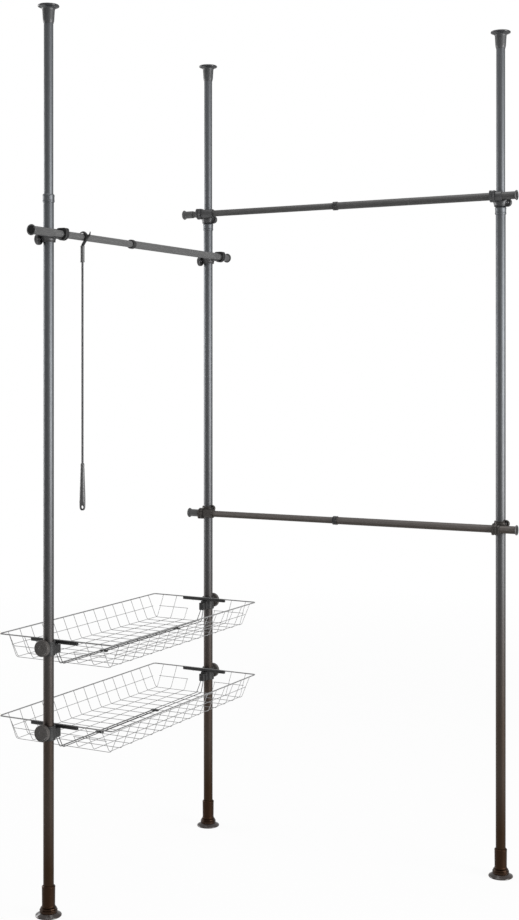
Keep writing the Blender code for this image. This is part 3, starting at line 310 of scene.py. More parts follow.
def piece(name, parts, finish, body, nodes=()):
    """Make a piece of the parts, finish it and let it ride on a body in place of its solids."""
    mesh = closed_mesh(name, parts)
    mesh.materials.append(bpy.data.materials[f"fine_{finish}"])
    mesh.shade_smooth()
    mesh.set_sharp_from_angle(angle=SHARP)
    item = bpy.data.objects.new(name, mesh)
    bpy.context.scene.collection.objects.link(item)
    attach(item, body)
    if nodes:
        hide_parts(*nodes)
    return item


def spun(name, profile, base, finish, body, node, axis="Z", segments=72, ripple=None):
    """A piece that is one surface of revolution, in place of one solid."""
    piece(name, [turned(profile, base, axis, segments, ripple)], finish, body, [node])


def pipe(name, node, base, wall, lip, finish, body, slot, axis="Z", segments=72):
    """A tube with a wall and eased lips, in place of one solid whose radius it gives back."""
    start, end, r = span(node, axis)
    loop = eased([(r, start), (r, end), (r - wall, end), (r - wall, start)], lip, 4)
    spun(name, loop, base, finish, body, node, axis, segments)
    return r


# Finishes


def sum_or_product(operation, swap=False):
    """A method that adds one Math node for a value and another value or number."""
    return lambda self, other: self.maths(operation, other, swap)


class Value:
    """A shader socket that takes part in sums and products."""

    def __init__(self, tree, socket):
        self.tree = tree
        self.socket = socket

    def maths(self, operation, other, swap=False):
        node = self.tree.nodes.new("ShaderNodeMath")
        node.operation = operation
        for slot, term in zip(node.inputs, (other, self) if swap else (self, other)):
            if isinstance(term, Value):
                self.tree.links.new(term.socket, slot)
            else:
                slot.default_value = term
        return Value(self.tree, node.outputs[0])

    __add__ = __radd__ = sum_or_product("ADD")
    __mul__ = __rmul__ = sum_or_product("MULTIPLY")
    __sub__, __rsub__ = sum_or_product("SUBTRACT"), sum_or_product("SUBTRACT", True)
    __truediv__, __rtruediv__ = sum_or_product("DIVIDE"), sum_or_product("DIVIDE", True)

    def clamped(self):
        """The value held between nought and one."""
        return self.maths("MAXIMUM", 0.0).maths("MINIMUM", 1.0)


def about(middle, *patterns):
    """A middle value that each pattern, from nought to one, moves up and down by half its weight."""
    for pattern, weight in patterns:
        middle = (pattern - 0.5) * weight + middle
    return middle


class Tree:
    """A node tree that gets its nodes by one method."""

    def __init__(self, tree):
        self.tree = tree

    def node(self, kind, settings=None, output=0, **inputs):
        """Add a node, set its settings first and then its sockets, by name or as i and their number, and give
        back one output."""
        made = self.tree.nodes.new(kind)
        for key, value in (settings or {}).items():
            setattr(made, key, value)
        for key, value in inputs.items():
            socket = made.inputs[int(key[1:]) if key[1:].isdigit() else key]
            if isinstance(value, Value):
                self.tree.links.new(value.socket, socket)
            else:
                socket.default_value = value
        return Value(self.tree, made.outputs[output])


class Finish(Tree):
    """A Principled material that is built up from nodes."""

    def __init__(self, name, roughness, metallic=0.0, coat=0.0, coat_roughness=0.2, specular=0.5):
        self.material = bpy.data.materials.new(name)
        self.material.use_nodes = True
        super().__init__(self.material.node_tree)
        self.shader = self.tree.nodes["Principled BSDF"]
        for socket, value in (("Roughness", roughness), ("Metallic", metallic), ("Coat Weight", coat),
                              ("Coat Roughness", coat_roughness), ("Specular IOR Level", specular)):
            self.shader.inputs[socket].default_value = value
        self.place = self.node("ShaderNodeTexCoord", output="Object")

    def noise(self, scale, detail=2.0, stretch=(1.0, 1.0, 1.0)):
        """Soft noise on object coordinates, drawn out along an axis where its stretch is small."""
        where = self.node("ShaderNodeMapping", Vector=self.place, Scale=stretch)
        return self.node("ShaderNodeTexNoise", Vector=where, Scale=scale, Detail=detail, output="Fac")

    def height(self):
        """The height above the floor in metres."""
        return self.node("ShaderNodeSeparateXYZ", Vector=self.place, output="Z")

    def blend(self, share, first, second):
        """A colour between two others."""
        first, second = (tone if isinstance(tone, Value) else (*tone, 1.0) for tone in (first, second))
        return self.node("ShaderNodeMix", {"data_type": "RGBA"}, output=2, i0=share, i6=first, i7=second)

    def speckled(self, speck, colour, spread):
        """A colour that is darker and lighter by the spread as the speck goes from nought to one."""
        return self.blend(speck, *(tuple(side * c for c in colour) for side in (1.0 - spread, 1.0 + spread)))

    def drive(self, socket, value):
        """Link a value into one of the shader's sockets."""
        self.tree.links.new(value.socket, self.shader.inputs[socket])

    def grain(self, height, strength, distance):
        """Raise the surface by a height pattern."""
        bump = self.node("ShaderNodeBump", Height=height, Strength=strength, Distance=distance, output="Normal")
        self.drive("Normal", bump)


def coat_finish(name, tones, steps, roughness, metallic, streak, coat=0.02):
    """A satin powder coat: fine orange peel, a faint mottle, and tones that change from above to the floor.

    The steps are the heights between which each tone gives way to the next; the later tones paint shade and light.
    """
    finish = Finish(name, roughness, metallic, coat=coat, coat_roughness=0.30)
    mottle = finish.noise(38.0, 3.0)
    fine = finish.noise(900.0, 2.0)
    lines = finish.noise(420.0, 2.0, streak)
    speck = about(0.5, (fine, 0.16), (mottle, 0.22), (lines, 0.18)).clamped()
    height = finish.height()
    tone = finish.speckled(speck, tones[0], 0.14)
    for colour, (above, below) in zip(tones[1:], steps):
        share = ((above - height) / (above - below)).clamped()
        tone = finish.blend(share, tone, finish.speckled(speck, colour, 0.14))
    finish.drive("Base Color", tone)
    finish.drive("Roughness", about(roughness, (mottle, 0.10), (lines, 0.08)))
    finish.grain(fine + lines * 0.6, 0.14, 0.00012)


def moulded_finish(name, colour, roughness, spark, coat, under=None):
    """Moulded plastic: a spark texture all over and cloudy gloss.

    Under, where given, is the colour and roughness lower down, and the heights where they end and begin.
    """
    finish = Finish(name, roughness, coat=coat, coat_roughness=0.22, specular=0.45)
    cloud = finish.noise(60.0, 3.0)
    grit = finish.noise(spark, 3.0)
    speck = about(0.5, (grit, 0.30), (cloud, 0.30)).clamped()
    tone = finish.speckled(speck, colour, 0.20)
    if under:
        low_colour, low_roughness, below, above = under
        share = ((above - finish.height()) / (above - below)).clamped()
        tone = finish.blend(share, tone, finish.speckled(speck, low_colour, 0.20))
        roughness = share * (low_roughness - roughness) + roughness
    finish.drive("Base Color", tone)
    finish.drive("Roughness", about(roughness, (cloud, 0.14), (grit, 0.08)))
    finish.grain(grit, 0.22, 0.00015)


def steel_finish(name, colour, roughness, metallic, streak=(1.0, 1.0, 1.0)):
    """Plated or lacquered wire: drawn lines along its length and a faint mottle."""
    finish = Finish(name, roughness, metallic, coat=0.15, coat_roughness=0.25)
    lines = finish.noise(700.0, 2.0, streak)
    mottle = finish.noise(90.0, 2.0)
    speck = about(0.5, (lines, 0.30), (mottle, 0.25)).clamped()
    finish.drive("Base Color", finish.speckled(speck, colour, 0.16))
    finish.drive("Roughness", about(roughness, (lines, 0.12)))
    finish.grain(lines, 0.10, 0.00010)


def finishes(own):
    """The finishes of the wardrobe, made once from its own colours."""
    top, low = (box(f"{rail}_rail_outer_tube")[2][2] for rail in ("top", "middle"))
    along_x, along_y, along_z, short_z = (0.01, 1.0, 1.0), (1.0, 0.01, 1.0), (1.0, 1.0, 0.01), (1.0, 1.0, 0.05)
    # Lower pole tones are painted: shade towards the floor, a brown floor reflection, and floor light near 0.35 m
    pole = (own.pole, own.pole_painted_shade, own.pole_painted_floor_light, own.pole_shade_and_floor_reflection)
    pole_steps = ((1.75, 0.90), (0.95, 0.50), (0.32, 0.14))
    # Back rail tones are painted: shade under the top rail, light on the middle rail's top half, shade under it
    back = (own.back_rail, own.top_rail_painted_shade, own.middle_rail_painted_light, own.middle_rail_painted_shade)
    back_steps = ((top + 0.001, top - 0.005), (2.0, 1.5), (low + 0.001, low - 0.005))
    # The flange disc's colour is darker than the neck's as painted shade under the disc
    neck = (own.flange_low, 0.48, 2.736, 2.741)
    # The numbers are, for a coat: roughness, metallic, then streak and coat; for a moulding: roughness,
    # spark, coat; and for steel: roughness, metallic, then streak
    rows = {
        "pole_coat": (coat_finish, pole, pole_steps, 0.50, 0.95, along_z),
        "side_coat": (coat_finish, (own.side_rail,), (), 0.46, 0.25, along_y),
        "back_coat": (coat_finish, back, back_steps, 0.48, 0.25, along_x),
        # The clamp coat's lower tone is painted shade, darker and browner on the middle clamps
        "clamp_coat": (coat_finish, (own.clamp, own.clamp_painted_shade), ((2.1, 1.2),), 0.44, 0.80, short_z),
        "black_plastic": (moulded_finish, own.black, 0.46, 1400.0, 0.10),
        "sleeve_plastic": (coat_finish, (own.sleeve,), (), 0.46, 0.90, along_z),
        "nut_plastic": (coat_finish, (own.sleeve,), (), 0.34, 0.90, short_z, 0.12),
        # The dish's near-black matt sheet is painted shade of the caps' recess
        "inlay_plastic": (moulded_finish, own.inlay, 0.80, 1400.0, 0.0),
        "cap_plastic": (moulded_finish, own.cap, 0.42, 1200.0, 0.20),
        "foot_plastic": (moulded_finish, own.foot, 0.20, 1200.0, 0.60),
        "flange_plastic": (moulded_finish, own.flange, 0.16, 1200.0, 0.16, neck),
        "knob_plastic": (moulded_finish, own.knob, 0.44, 1300.0, 0.12),
        "wire_coat": (steel_finish, own.wire, 0.38, 0.55),
        "support_coat": (steel_finish, own.support, 0.38, 0.45),
        "bolt_steel": (steel_finish, own.bolt, 0.30, 0.90),
        "shaft_coat": (steel_finish, own.shaft, 0.36, 0.50, along_z),
    }
    for name, (make, *row) in rows.items():
        if f"fine_{name}" not in bpy.data.materials:
            make(f"fine_{name}", *row)


def chosen(context):
    """The chosen sizes, once the finishes are there in the chosen colours."""
    finishes(context.scene.wardrobe.colours)
    return context.scene.wardrobe.sizes


# What a user may change


def colour(name, description, *default):
    """A colour that a user may change, as red, green and blue light."""
    return FloatVectorProperty(name=name, description=description, subtype="COLOR", default=default)


def length(name, description, default):
    """A length in metres that a user may change."""
    return FloatProperty(name=name, description=description, unit="LENGTH", default=default)


class WardrobeColours(PropertyGroup):
    """The colours of the coats and plastics."""

    pole: colour("Pole coat", "Coat of the poles above", 0.130, 0.136, 0.144)
    # The pole tones below are painted shade, painted floor light and a painted brown floor reflection by height
    pole_painted_shade: colour("Pole coat half way", "Coat of the poles above the baskets", 0.084, 0.083, 0.084)
    pole_painted_floor_light: colour("Pole coat under the baskets", "Coat a third of a metre up", 0.062, 0.047, 0.038)
    pole_shade_and_floor_reflection: colour("Pole coat below", "Coat of the poles near the floor", 0.041, 0.023, 0.0125)
    sleeve: colour("Foot sleeve", "Coat of the foot sleeves and nuts", 0.034, 0.0162, 0.0077)
    side_rail: colour("Side rail coat", "Coat of the rail over the baskets", 0.116, 0.116, 0.116)
    back_rail: colour("Back rail coat", "Coat of the top back rail", 0.090, 0.089, 0.088)
    # The back rail tones below are painted shade under each rail and painted light on the middle rail's top half
    top_rail_painted_shade: colour("Back rail underneath", "Lower half of the top back rail", 0.055, 0.054, 0.053)
    middle_rail_painted_light: colour("Middle rail coat", "Coat of the middle back rail", 0.112, 0.100, 0.093)
    middle_rail_painted_shade: colour("Middle rail underneath", "Lower half of the middle rail", 0.045, 0.035, 0.028)
    black: colour("Clamp plastic", "Plastic of jaws, holders and hook", 0.013, 0.013, 0.013)
    clamp: colour("Clamp coat", "Coat of the upper cross clamps", 0.095, 0.095, 0.097)
    # The low clamp tone is painted shade, darker and browner on the middle clamps
    clamp_painted_shade: colour("Low clamp coat", "Coat of the middle cross clamps", 0.070, 0.064, 0.060)
    # The dark sheet in the caps' dishes is painted shade of the recess, not a separate part
    inlay: colour("Cap inlay", "Matt plastic in the dish of the end caps", 0.006, 0.006, 0.006)
    cap: colour("Cap plastic", "Plastic of the rail end caps", 0.080, 0.080, 0.080)
    foot: colour("Foot plastic", "Plastic of the floor plates", 0.030, 0.021, 0.018)
    # The flange colour is darker than the neck's as painted shade under the disc
    flange: colour("Flange plastic", "Plastic of the ceiling flanges", 0.030, 0.031, 0.033)
    flange_low: colour("Flange neck", "Plastic of the ceiling flanges' necks", 0.048, 0.049, 0.051)
    knob: colour("Knob plastic", "Plastic of the clamp knobs", 0.066, 0.060, 0.056)
    wire: colour("Basket wire", "Coat of the basket wires", 0.300, 0.300, 0.300)
    support: colour("Support wire", "Coat of the support wires", 0.055, 0.055, 0.055)
    bolt: colour("Bolt", "Steel of the clamp bolts", 0.150, 0.150, 0.155)
    shaft: colour("Retriever shaft", "Coat of the retriever's shaft", 0.042, 0.042, 0.044)


class WardrobeSizes(PropertyGroup):
    """The sizes of details that the solids leave plain."""

    lip: length("Tube lip", "Rounding of a tube's ends", 0.0005)
    tube_wall: length("Tube wall", "Wall of the pole tubes", 0.0014)
    rail_wall: length("Rail wall", "Wall of the rail tubes", 0.0012)
    nut_ribs: IntProperty(name="Nut ribs", description="Grip ribs round a foot nut", default=30)
    nut_rib: length("Nut rib depth", "Depth of a grip rib", 0.0006)
    knob_ribs: IntProperty(name="Knob ribs", description="Grip ribs round a clamp knob", default=48)
    knob_rib: length("Knob rib depth", "Depth of a knob's rib", 0.0005)
    rim_wire: length("Rim wire", "Radius of a basket's rim wire", 0.0020)
    rim_seat: length("Rim seat", "Radius of the rim wire in the solid", 0.0025)
    mesh_wire: length("Mesh wire", "Radius of the thin basket wires", 0.0009)
    bend: length("Wire bend", "Reach of a basket wire's bend", 0.0090)
    seat: length("Seat gap", "Gap between pieces that touch", 0.0003)
    depth: length("Basket depth", "Rim to floor of a basket", 0.0760)
    end_slope: length("End slope", "How far a basket's ends lean out", 0.0430)
    side_slope: length("Side slope", "How far a basket's sides lean out", 0.0330)
    rail_offset: length("Rail offset", "Pole axis to rail axis", 0.0326)
    clamp_top: length("Clamp top", "Rail axis to the clamp's oval end", 0.0145)
    support_wire: length("Support wire", "Radius of a support wire", 0.0013)
    hook_wire: length("Hook wire", "Radius of the retriever's hook", 0.0035)


class WardrobeSettings(PropertyGroup):
    """All settings of the wardrobe."""

    colours: PointerProperty(name="Colours", description="Colours of the finishes", type=WardrobeColours)
    sizes: PointerProperty(name="Sizes", description="Sizes of the details", type=WardrobeSizes)


# Pieces


def lock_collar(pole, base, outer, upper):
    """The twist collar: a rounded ring with a shallow waist and a lip that closes on the upper tube."""
    node = f"pole_{pole}_lock_collar"
    bottom, top, r = span(node)
    loop = moulding(
        (r, bottom, (-8, 0, 6), (0, 30, 12), (0, 45, 10), (-6, 62, 10)),
        (r, top, (-6, -85, 10), (0, -70, 10), (-2, -30, 22)),
        (upper, top, (12, 0, 8), (3, -2, 2), (3, -40, 2)), (outer, top, (3, -41, 2)), (outer, bottom, (3, 0, 2)),
    )
    spun(f"lock_collar_{pole}", loop, base, "pole_coat", f"pole_{pole}_collar", node)


def ceiling_flange(pole, base, upper):
    """The ceiling flange: a thin disc whose underside sweeps down in a trumpet to the neck."""
    node = f"pole_{pole}_ceiling_flange"
    bottom, top, r = span(node)
    neck = upper + 0.0042
    loop = moulding(
        (0.0, top, (0, 0, 0)), (r, top, (-18, 0, 12), (0, -18, 16), (-2, -54, 22), (-80, -82, 60)),
        (neck, top, (8, -118, 65), (0, -230, 70)), (neck, bottom, (-13, 105, 30), (-17, 75, 20)),
        (upper, bottom, (8, 4, 4), (3, 0, 2)), (upper, top, (3, -150, 2)), (0.0, top, (0, -150, 0)),
        steps=6, closed=False,
    )
    spun(f"ceiling_flange_{pole}", loop, base, "flange_plastic", f"pole_{pole}_top", node)


class WARDROBE_OT_poles(Operator):
    """Make the tubes, lock collars and ceiling flanges of the three poles"""

    bl_idname = "wardrobe.poles"
    bl_label = "Poles"

    def execute(self, context):
        sizes = chosen(context)
        make = (sizes.tube_wall, sizes.lip, "pole_coat")
        for pole, body in POLE_BODY.items():
            node = f"pole_{pole}"
            base = floor_point(f"{node}_lower_tube")
            outer = pipe(f"lower_tube_{pole}", f"{node}_lower_tube", base, *make, body, "pole_coat")
            upper = pipe(f"upper_tube_{pole}", f"{node}_upper_tube", base, *make, f"{node}_top", "pole_coat")
            lock_collar(pole, base, outer, upper)
            ceiling_flange(pole, base, upper)
        return {"FINISHED"}


def floor_plate(pole, base, body, sizes):
    """The floor plate: a disc that domes up to the nut, with the spindle standing on it."""
    node = f"pole_{pole}_foot_plate"
    _, top, r = span(node)
    nut, _, nut_r = span(f"pole_{pole}_foot_nut")
    dome = nut - sizes.seat
    loop = moulding(
        (0.0, 0.0, (0, 0, 0)), (r, 0.0, (-12, 0, 8), (0, 12, 10), (-3, 42, 16)), (r, dome * 0.55, (-40, 0, 40)),
        (nut_r, dome * 0.86, (24, 0, 20)), (nut_r, dome, (-4, 0, 8)), (SPINDLE, dome, (0, 0, 2)),
        (SPINDLE, top, (0, -8, 4), (-8, 0, 3)), (0.0, top, (0, 0, 0)), steps=6, closed=False,
    )
    spun(f"floor_plate_{pole}", loop, base, "foot_plastic", body, node, segments=80)


def foot_nut(pole, base, sizes):
    """The foot nut: a ribbed lower ring and a smaller collar over it with a groove between them."""
    node = f"pole_{pole}_foot_nut"
    bottom, top, r = span(node)
    waist = bottom + 0.0084
    loop = np.concatenate([
        outline((SPINDLE, bottom, (4, 0)), (r, bottom, (-12, 0), (-3, 5))),
        np.linspace((r, bottom + 0.0012), (r, waist - 0.0010), 8),
        outline((r, waist, (-4, -3), (-12, 0), (-30, 2), (-32, 6), (-26, 12), (-24, 18)),
                (r, top, (-26, -14), (-30, -5), (-40, 0)), (SPINDLE, top, (4, 0))),
    ])
    ribs = ribbed(sizes.nut_ribs, sizes.nut_rib, r - 0.0006, bottom + 0.0014, waist - 0.0012)
    spun(f"foot_nut_{pole}", loop, base, "nut_plastic", f"pole_{pole}_nut", node,
         segments=sizes.nut_ribs * 6, ripple=ribs)


def foot_sleeve(pole, base, body, sizes):
    """The foot sleeve: a straight socket with a lip at its mouth and a bead at its base."""
    node = f"pole_{pole}_foot_sleeve"
    bottom, top, r = span(node)
    inner = span(f"pole_{pole}_lower_tube")[2] + sizes.seat
    loop = moulding(
        (SPINDLE, bottom, (4, 0, 2)), (r, bottom, (-6, 0, 6), (0, 12, 6), (0, 50, 6), (-8, 62, 6)),
        (r, top, (-4, -66, 4), (0, -58, 4), (0, -30, 10)), (inner, top, (10, -1, 6), (0, 0, 2)),
        (inner, bottom, (0, 80, 2)), (SPINDLE, bottom, (4, 80, 2)),
    )
    spun(f"foot_sleeve_{pole}", loop, base, "sleeve_plastic", body, node)


class WARDROBE_OT_feet(Operator):
    """Make the floor plate, foot nut and sleeve of each pole"""

    bl_idname = "wardrobe.feet"
    bl_label = "Feet"

    def execute(self, context):
        sizes = chosen(context)
        for pole, body in POLE_BODY.items():
            base = floor_point(f"pole_{pole}_foot_plate")
            floor_plate(pole, base, body, sizes)
            foot_nut(pole, base, sizes)
            foot_sleeve(pole, base, body, sizes)
        return {"FINISHED"}


def rail_collar(rail, axis, base, thin, thick):
    """The rail's twist collar: a ring with three round ribs, as a cosine of the height, and a stepped mouth."""
    node = f"{rail}_lock_collar"
    start, end, r = span(node, axis)
    ribs = np.linspace(start + 0.0016, end - 0.0016, 25)
    wave = r - 0.0003 - 0.0003 * np.cos((ribs - start) / (end - start) * 6 * np.pi)
    loop = np.concatenate([
        outline((r, start, (-12, 0), (-4, 5))),
        np.stack([wave, ribs], 1),
        outline((r, end, (-4, -5), (-10, 0)), (thick, end, (3, 0)), (thick, start, (3, 31)),
                (thin, start, (3, 30), (3, 0))),
    ])
    black = "black_plastic"
    spun(f"{rail}_collar_ring", loop, base, black, f"{rail}_collar", node, axis, 64)


def end_caps(rail, axis, base, thin, thick, moving):
    """The end caps: a dished disc with a round rim, and a sleeve over the thin tube or a plug in the thick
    one. Their heights are measured from the face inwards."""
    _, _, r = span(f"{rail}_inner_cap", axis)
    dish = r - 0.0036
    for end, solid, body in (("thin", "inner", "corner_frame"), ("thick", "outer", moving)):
        node = f"{rail}_{solid}_cap"
        first, last, _ = span(node, axis)
        deep = last - first
        if end == "thin":
            face, way, stem = first, 1.0, thin + 0.0018
            inside = ((stem, 0.0, (4, 43, 8), (0, 60, 8)), (stem, deep, (0, -16, 8), (-10, 0, 5)),
                      (thin, deep, (3, 0, 2)), (thin, 0.0, (3, 40, 2)), (0.0, 0.0, (0, 40, 0)))
        else:
            face, way, stem = last, -1.0, thick - 0.0015
            inside = (stem, 0.0, (0, 40, 2)), (stem, deep, (0, -10, 5), (-10, 0, 5)), (0.0, deep, (0, 0, 0))
        loop = moulding(
            (0.0, 0.0, (0, 21, 0)), (dish, 0.0, (-10, 19, 8), (0, 10, 4), (6, 0, 4)),
            (r, 0.0, (-12, 0, 10), (0, 12, 8), (0, 28, 8), (-10, 40, 8)), *inside, closed=False,
        )
        # A near-black matt sheet over the dish is painted shade of the recess
        inlay = outline((0.0, 0.0, (0, 22), (0, 16)), (dish, 0.0, (-8, 14), (-4, 20)))
        loop, inlay = (np.stack([part[:, 0], face + way * part[:, 1]], 1) for part in (loop, inlay))
        spun(f"{rail}_{end}_end_cap", loop, base, "cap_plastic", body, node, axis, 64)
        piece(f"{rail}_{end}_end_dish_shade", [turned(inlay, base, axis, 48)], "inlay_plastic", body)


class WARDROBE_OT_rails(Operator):
    """Make the telescopic rails with their lock collars and end caps"""

    bl_idname = "wardrobe.rails"
    bl_label = "Rails"

    def execute(self, context):
        sizes = chosen(context)
        for rail, (axis, moving, side) in RAILS.items():
            base = box(f"{rail}_inner_tube")[2]
            base["XYZ".index(axis)] = 0.0
            make = (base, sizes.rail_wall, sizes.lip, f"{side}_coat")
            last = (f"{side}_rail_coat", axis, 64)
            thin = pipe(f"{rail}_thin_tube", f"{rail}_inner_tube", *make, "corner_frame", *last)
            thick = pipe(f"{rail}_thick_tube", f"{rail}_outer_tube", *make, moving, *last)
            rail_collar(rail, axis, base, thin, thick)
            end_caps(rail, axis, base, thin, thick, moving)
        return {"FINISHED"}


def clamp_bowl(sizes, drop, hole, bore):
    """The bowl round the pole: ovals that widen as a sine from a ribbed round end to the rail's end.

    Here and in the clamp's other parts the pole is along Z and the rail along X at +Y. An oval is half
    long |cos|^(2/power) by half wide |sin|^(2/power). The skin turns in at both ends and runs back along
    the pole's hole. Where it would reach past the rail's own bore, y is held at the rail's offset less the
    root of bore squared less z squared.
    """
    top = sizes.clamp_top
    rise = np.linspace(0.0, 1.0, 14)
    swell = np.sin(rise * np.pi / 2.0) ** 1.15
    level = -drop + 0.0035 + (drop - 0.0035 + top - 0.0022) * rise
    levels, longs, wides = np.concatenate([
        [(-drop, hole, hole)],
        outline((-drop, 0.0, (0, 200, 200), (8, 208, 208), (26, 208, 208), (34, 203, 203))),
        np.stack([level, 0.0204 + 0.0102 * swell, 0.0204 + 0.0042 * swell], 1),
        outline((top, 0.0, (-12, 310, 250), (-4, 306, 246), (0, 292, 232))),
        [(top, hole, hole)],
    ]).T[..., None]
    power = np.full(levels.shape, 2.15)
    power[[0, -1]] = 2.0
    cos, sin = np.cos(circle(56)), np.sin(circle(56))
    x = np.sign(cos) * np.abs(cos) ** (2.0 / power) * longs
    y = np.sign(sin) * np.abs(sin) ** (2.0 / power) * wides
    deep = np.maximum(bore**2 - levels**2, 0.0)
    y = np.where(deep > 0.0, np.minimum(y, sizes.rail_offset - np.sqrt(deep)), y)
    return [woven(np.stack([x, y, levels + 0.0 * x], -1), True, True)]


def clamp_grip(sizes, jaw, bore, hole, wrap):
    """The jaw's band, the cradle under the rail and, where it is wrapped, the sleeve round it."""
    centre = (0.0, sizes.rail_offset, 0.0)
    cradle = eased([(bore, -0.0248), (0.0164, -0.0250), (0.0167, jaw + 0.0020), (bore, jaw + 0.0020)], 0.0010, 4)
    parts = [rail_band(sizes, bore, 0.0176, jaw + 0.0040, jaw + 0.0110, 0.0004),
             turned(cradle, centre, "X", 40, arc=np.radians([166.0, 284.0]))]
    if wrap is not None:
        sleeve = moulding((bore, -wrap, (0, 0, 2)), (0.0, -wrap, (148, 0, 6), (155, 16, 10)),
                          (0.0155, jaw, (0, 20, 2)), (bore, jaw, (0, 20, 2)), steps=4)
        parts.append(turned(sleeve, centre, "X", 56))
    return [kept_clear(part, hole) for part in parts]


def clamp_jaw(sizes, jaw, bore, hole):
    """The two dark flanges of the jaw, on both sides of its band."""
    flanges = ((jaw, jaw + 0.0046), (jaw + 0.0102, jaw + 0.0160))
    return [kept_clear(rail_band(sizes, bore, 0.0190, *ends, 0.0007), hole) for ends in flanges]


def rail_band(sizes, bore, outer, start, end, lip):
    """A band round the rail. Away from the bowl its outline is r over the fifth root of |cos a|^5 +
    |sin a|^5, which is a square with round corners, and on the bowl's side it stays round."""

    def squared(r, h, angle):
        corner = (np.abs(np.cos(angle)) ** 5 + np.abs(np.sin(angle)) ** 5) ** -0.2
        return np.where((r > bore + 0.0006) & (np.sin(angle) > 0.0), r * corner, r)

    loop = eased([(bore, start), (outer, start), (outer, end), (bore, end)], lip, 4)
    return turned(loop, (0.0, sizes.rail_offset, 0.0), "X", 56, squared)


def kept_clear(part, hole, axis=1, side=1.0):
    """Hold a part clear of the pole: on its side of the pole, the coordinate on the axis is at least the
    root of hole squared less the other coordinate squared."""
    points, faces = part
    edge = np.sqrt(np.maximum(hole**2 - points[:, 1 - axis] ** 2, 0.0))
    held = side * np.maximum(side * points[:, axis], edge)
    points[:, axis] = np.where(edge > 0.0, held, points[:, axis])
    return points, faces


def clamp_boss(form, hole):
    """The round boss: a thick disc with eased edges and a deep dish in its front, clear of the pole's hole."""
    r, out, down, start = form
    front = start + 0.0110
    loop = moulding(
        (0.0, start, (0, 0, 0)), (r, start, (-14, 0, 12), (0, 14, 12)),
        (r, front, (0, -14, 12), (-12, 0, 8), (-26, 0, 6), (-34, -30, 8)), (0.0, front, (0, -34, 0)), closed=False,
    )
    return [kept_clear(turned(loop, (-out, 0.0, -down), "Y", 48), hole, 0, -1.0)]


def clamp_bolt(form):
    """A six-sided bolt head sunk in the boss: its rim is r cos 30 over cos of the angle from a flat's middle."""
    _, out, down, start = form

    def flats(r, h, angle):
        six = np.cos(np.pi / 6) / np.cos((angle % (np.pi / 3)) - np.pi / 6)
        return np.where(r > 0.0030, r * six, r)

    head = outline((0.0, start, (0, 70), (50, 70), (50, 92), (44, 97), (30, 97), (22, 90), (0, 90)))
    return [turned(head, (-out, 0.0, -down), "Y", 48, flats)]


class WARDROBE_OT_clamps(Operator):
    """Make the cross clamps that hold the rails beside the poles, with their bolts"""

    bl_idname = "wardrobe.clamps"
    bl_label = "Cross clamps"

    def execute(self, context):
        sizes = chosen(context)
        for rail, (poles, wraps, jaw_side, bowl_side, jaw, drop, boss) in CLAMPS.items():
            on_side = rail == "side_rail"
            turn = -math.pi / 2.0 if on_side else math.pi
            for pole, wrap, tube in zip(poles, wraps, ("inner", "outer")):
                low, high, middle = box(f"{rail}_{tube}_tube")
                bore = (high[2] - low[2]) / 2.0 + sizes.seat
                held = "lower" if middle[2] < span(f"pole_{pole}_lower_tube")[1] else "upper"
                hole = span(f"pole_{pole}_{held}_tube")[2] + sizes.seat
                place = floor_point(f"pole_{pole}_lower_tube") + (0.0, 0.0, middle[2])
                name = f"{rail}_bracket_{pole}"
                body = clamp_bowl(sizes, drop, hole, bore) + clamp_grip(sizes, jaw, bore, hole, wrap)
                body += clamp_boss(boss, hole)
                flanges = clamp_jaw(sizes, jaw, bore, hole)
                for end, parts, coat, nodes, slot in (
                    ("body", body, "clamp_coat", [name], "black_plastic"),
                    ("jaw", flanges, "black_plastic" if on_side else "clamp_coat", (), "black_plastic"),
                    ("bolt", clamp_bolt(boss), "bolt_steel", (), None),
                ):
                    parts = [placed(part, place, turn, (jaw_side, 1.0, bowl_side)) for part in parts]
                    piece(f"{name}_{end}", parts, coat, POLE_BODY[pole], nodes)
        return {"FINISHED"}


def basket_wires(sizes, half_wide, half_long):
    """Rim, cross, long and belt wires about the middle of the rim, each bent with eased corners."""
    thin, bend, depth = sizes.mesh_wire, sizes.bend, sizes.depth
    floor_wide = half_wide - sizes.side_slope
    floor_long = half_long - sizes.end_slope
    spacing = (floor_wide - 0.006) / 3.0
    corners = half_wide * np.array([1, 1, -1, -1]), half_long * np.array([-1, 1, 1, -1]), np.zeros(4)
    parts = [swept(eased(np.stack(corners, 1), bend, 9), sizes.rim_wire, UP, 14, closed=True)]

    def wire(normal, *line):
        parts.append(swept(eased(line, bend, 7, closed=False), thin, normal, 10))

    for y in np.linspace(-floor_long, floor_long, 15):
        wire(ALONG, (-half_wide, y, 0.0), (-floor_wide, y, -depth), (floor_wide, y, -depth), (half_wide, y, 0.0))
    stack = 2.0 * thin * 0.96  # welded wires sink a little into each other
    floor = stack - depth
    for order in range(-3, 4):
        x = spacing * order
        if order == 0:
            end = floor_long + stack
            wire(ACROSS, (x, -end, floor), (x, 0.0, floor), (x, end, floor))
        else:
            share = 0.5 if abs(order) == 1 else 1.0
            end = floor_long + (half_long - floor_long) * share
            up = -depth * (1.0 - share)
            wire(ACROSS, (x, -end, up), (x, -floor_long, floor), (x, floor_long, floor), (x, end, up))
    belt_x = (half_wide + floor_wide) / 2.0 - stack
    belt_y = (half_long + floor_long) / 2.0 - stack
    over = 2.0 * stack
    half_way = -depth / 2
    for side in (-1.0, 1.0):
        wire(UP, (side * belt_x, -floor_long - over, half_way), (side * belt_x, floor_long + over, half_way))
        near, far = side * (spacing - over), side * (3.0 * spacing + over)
        for y in (-belt_y, belt_y):
            wire(UP, (near, y, half_way), (far, y, half_way))
    return parts


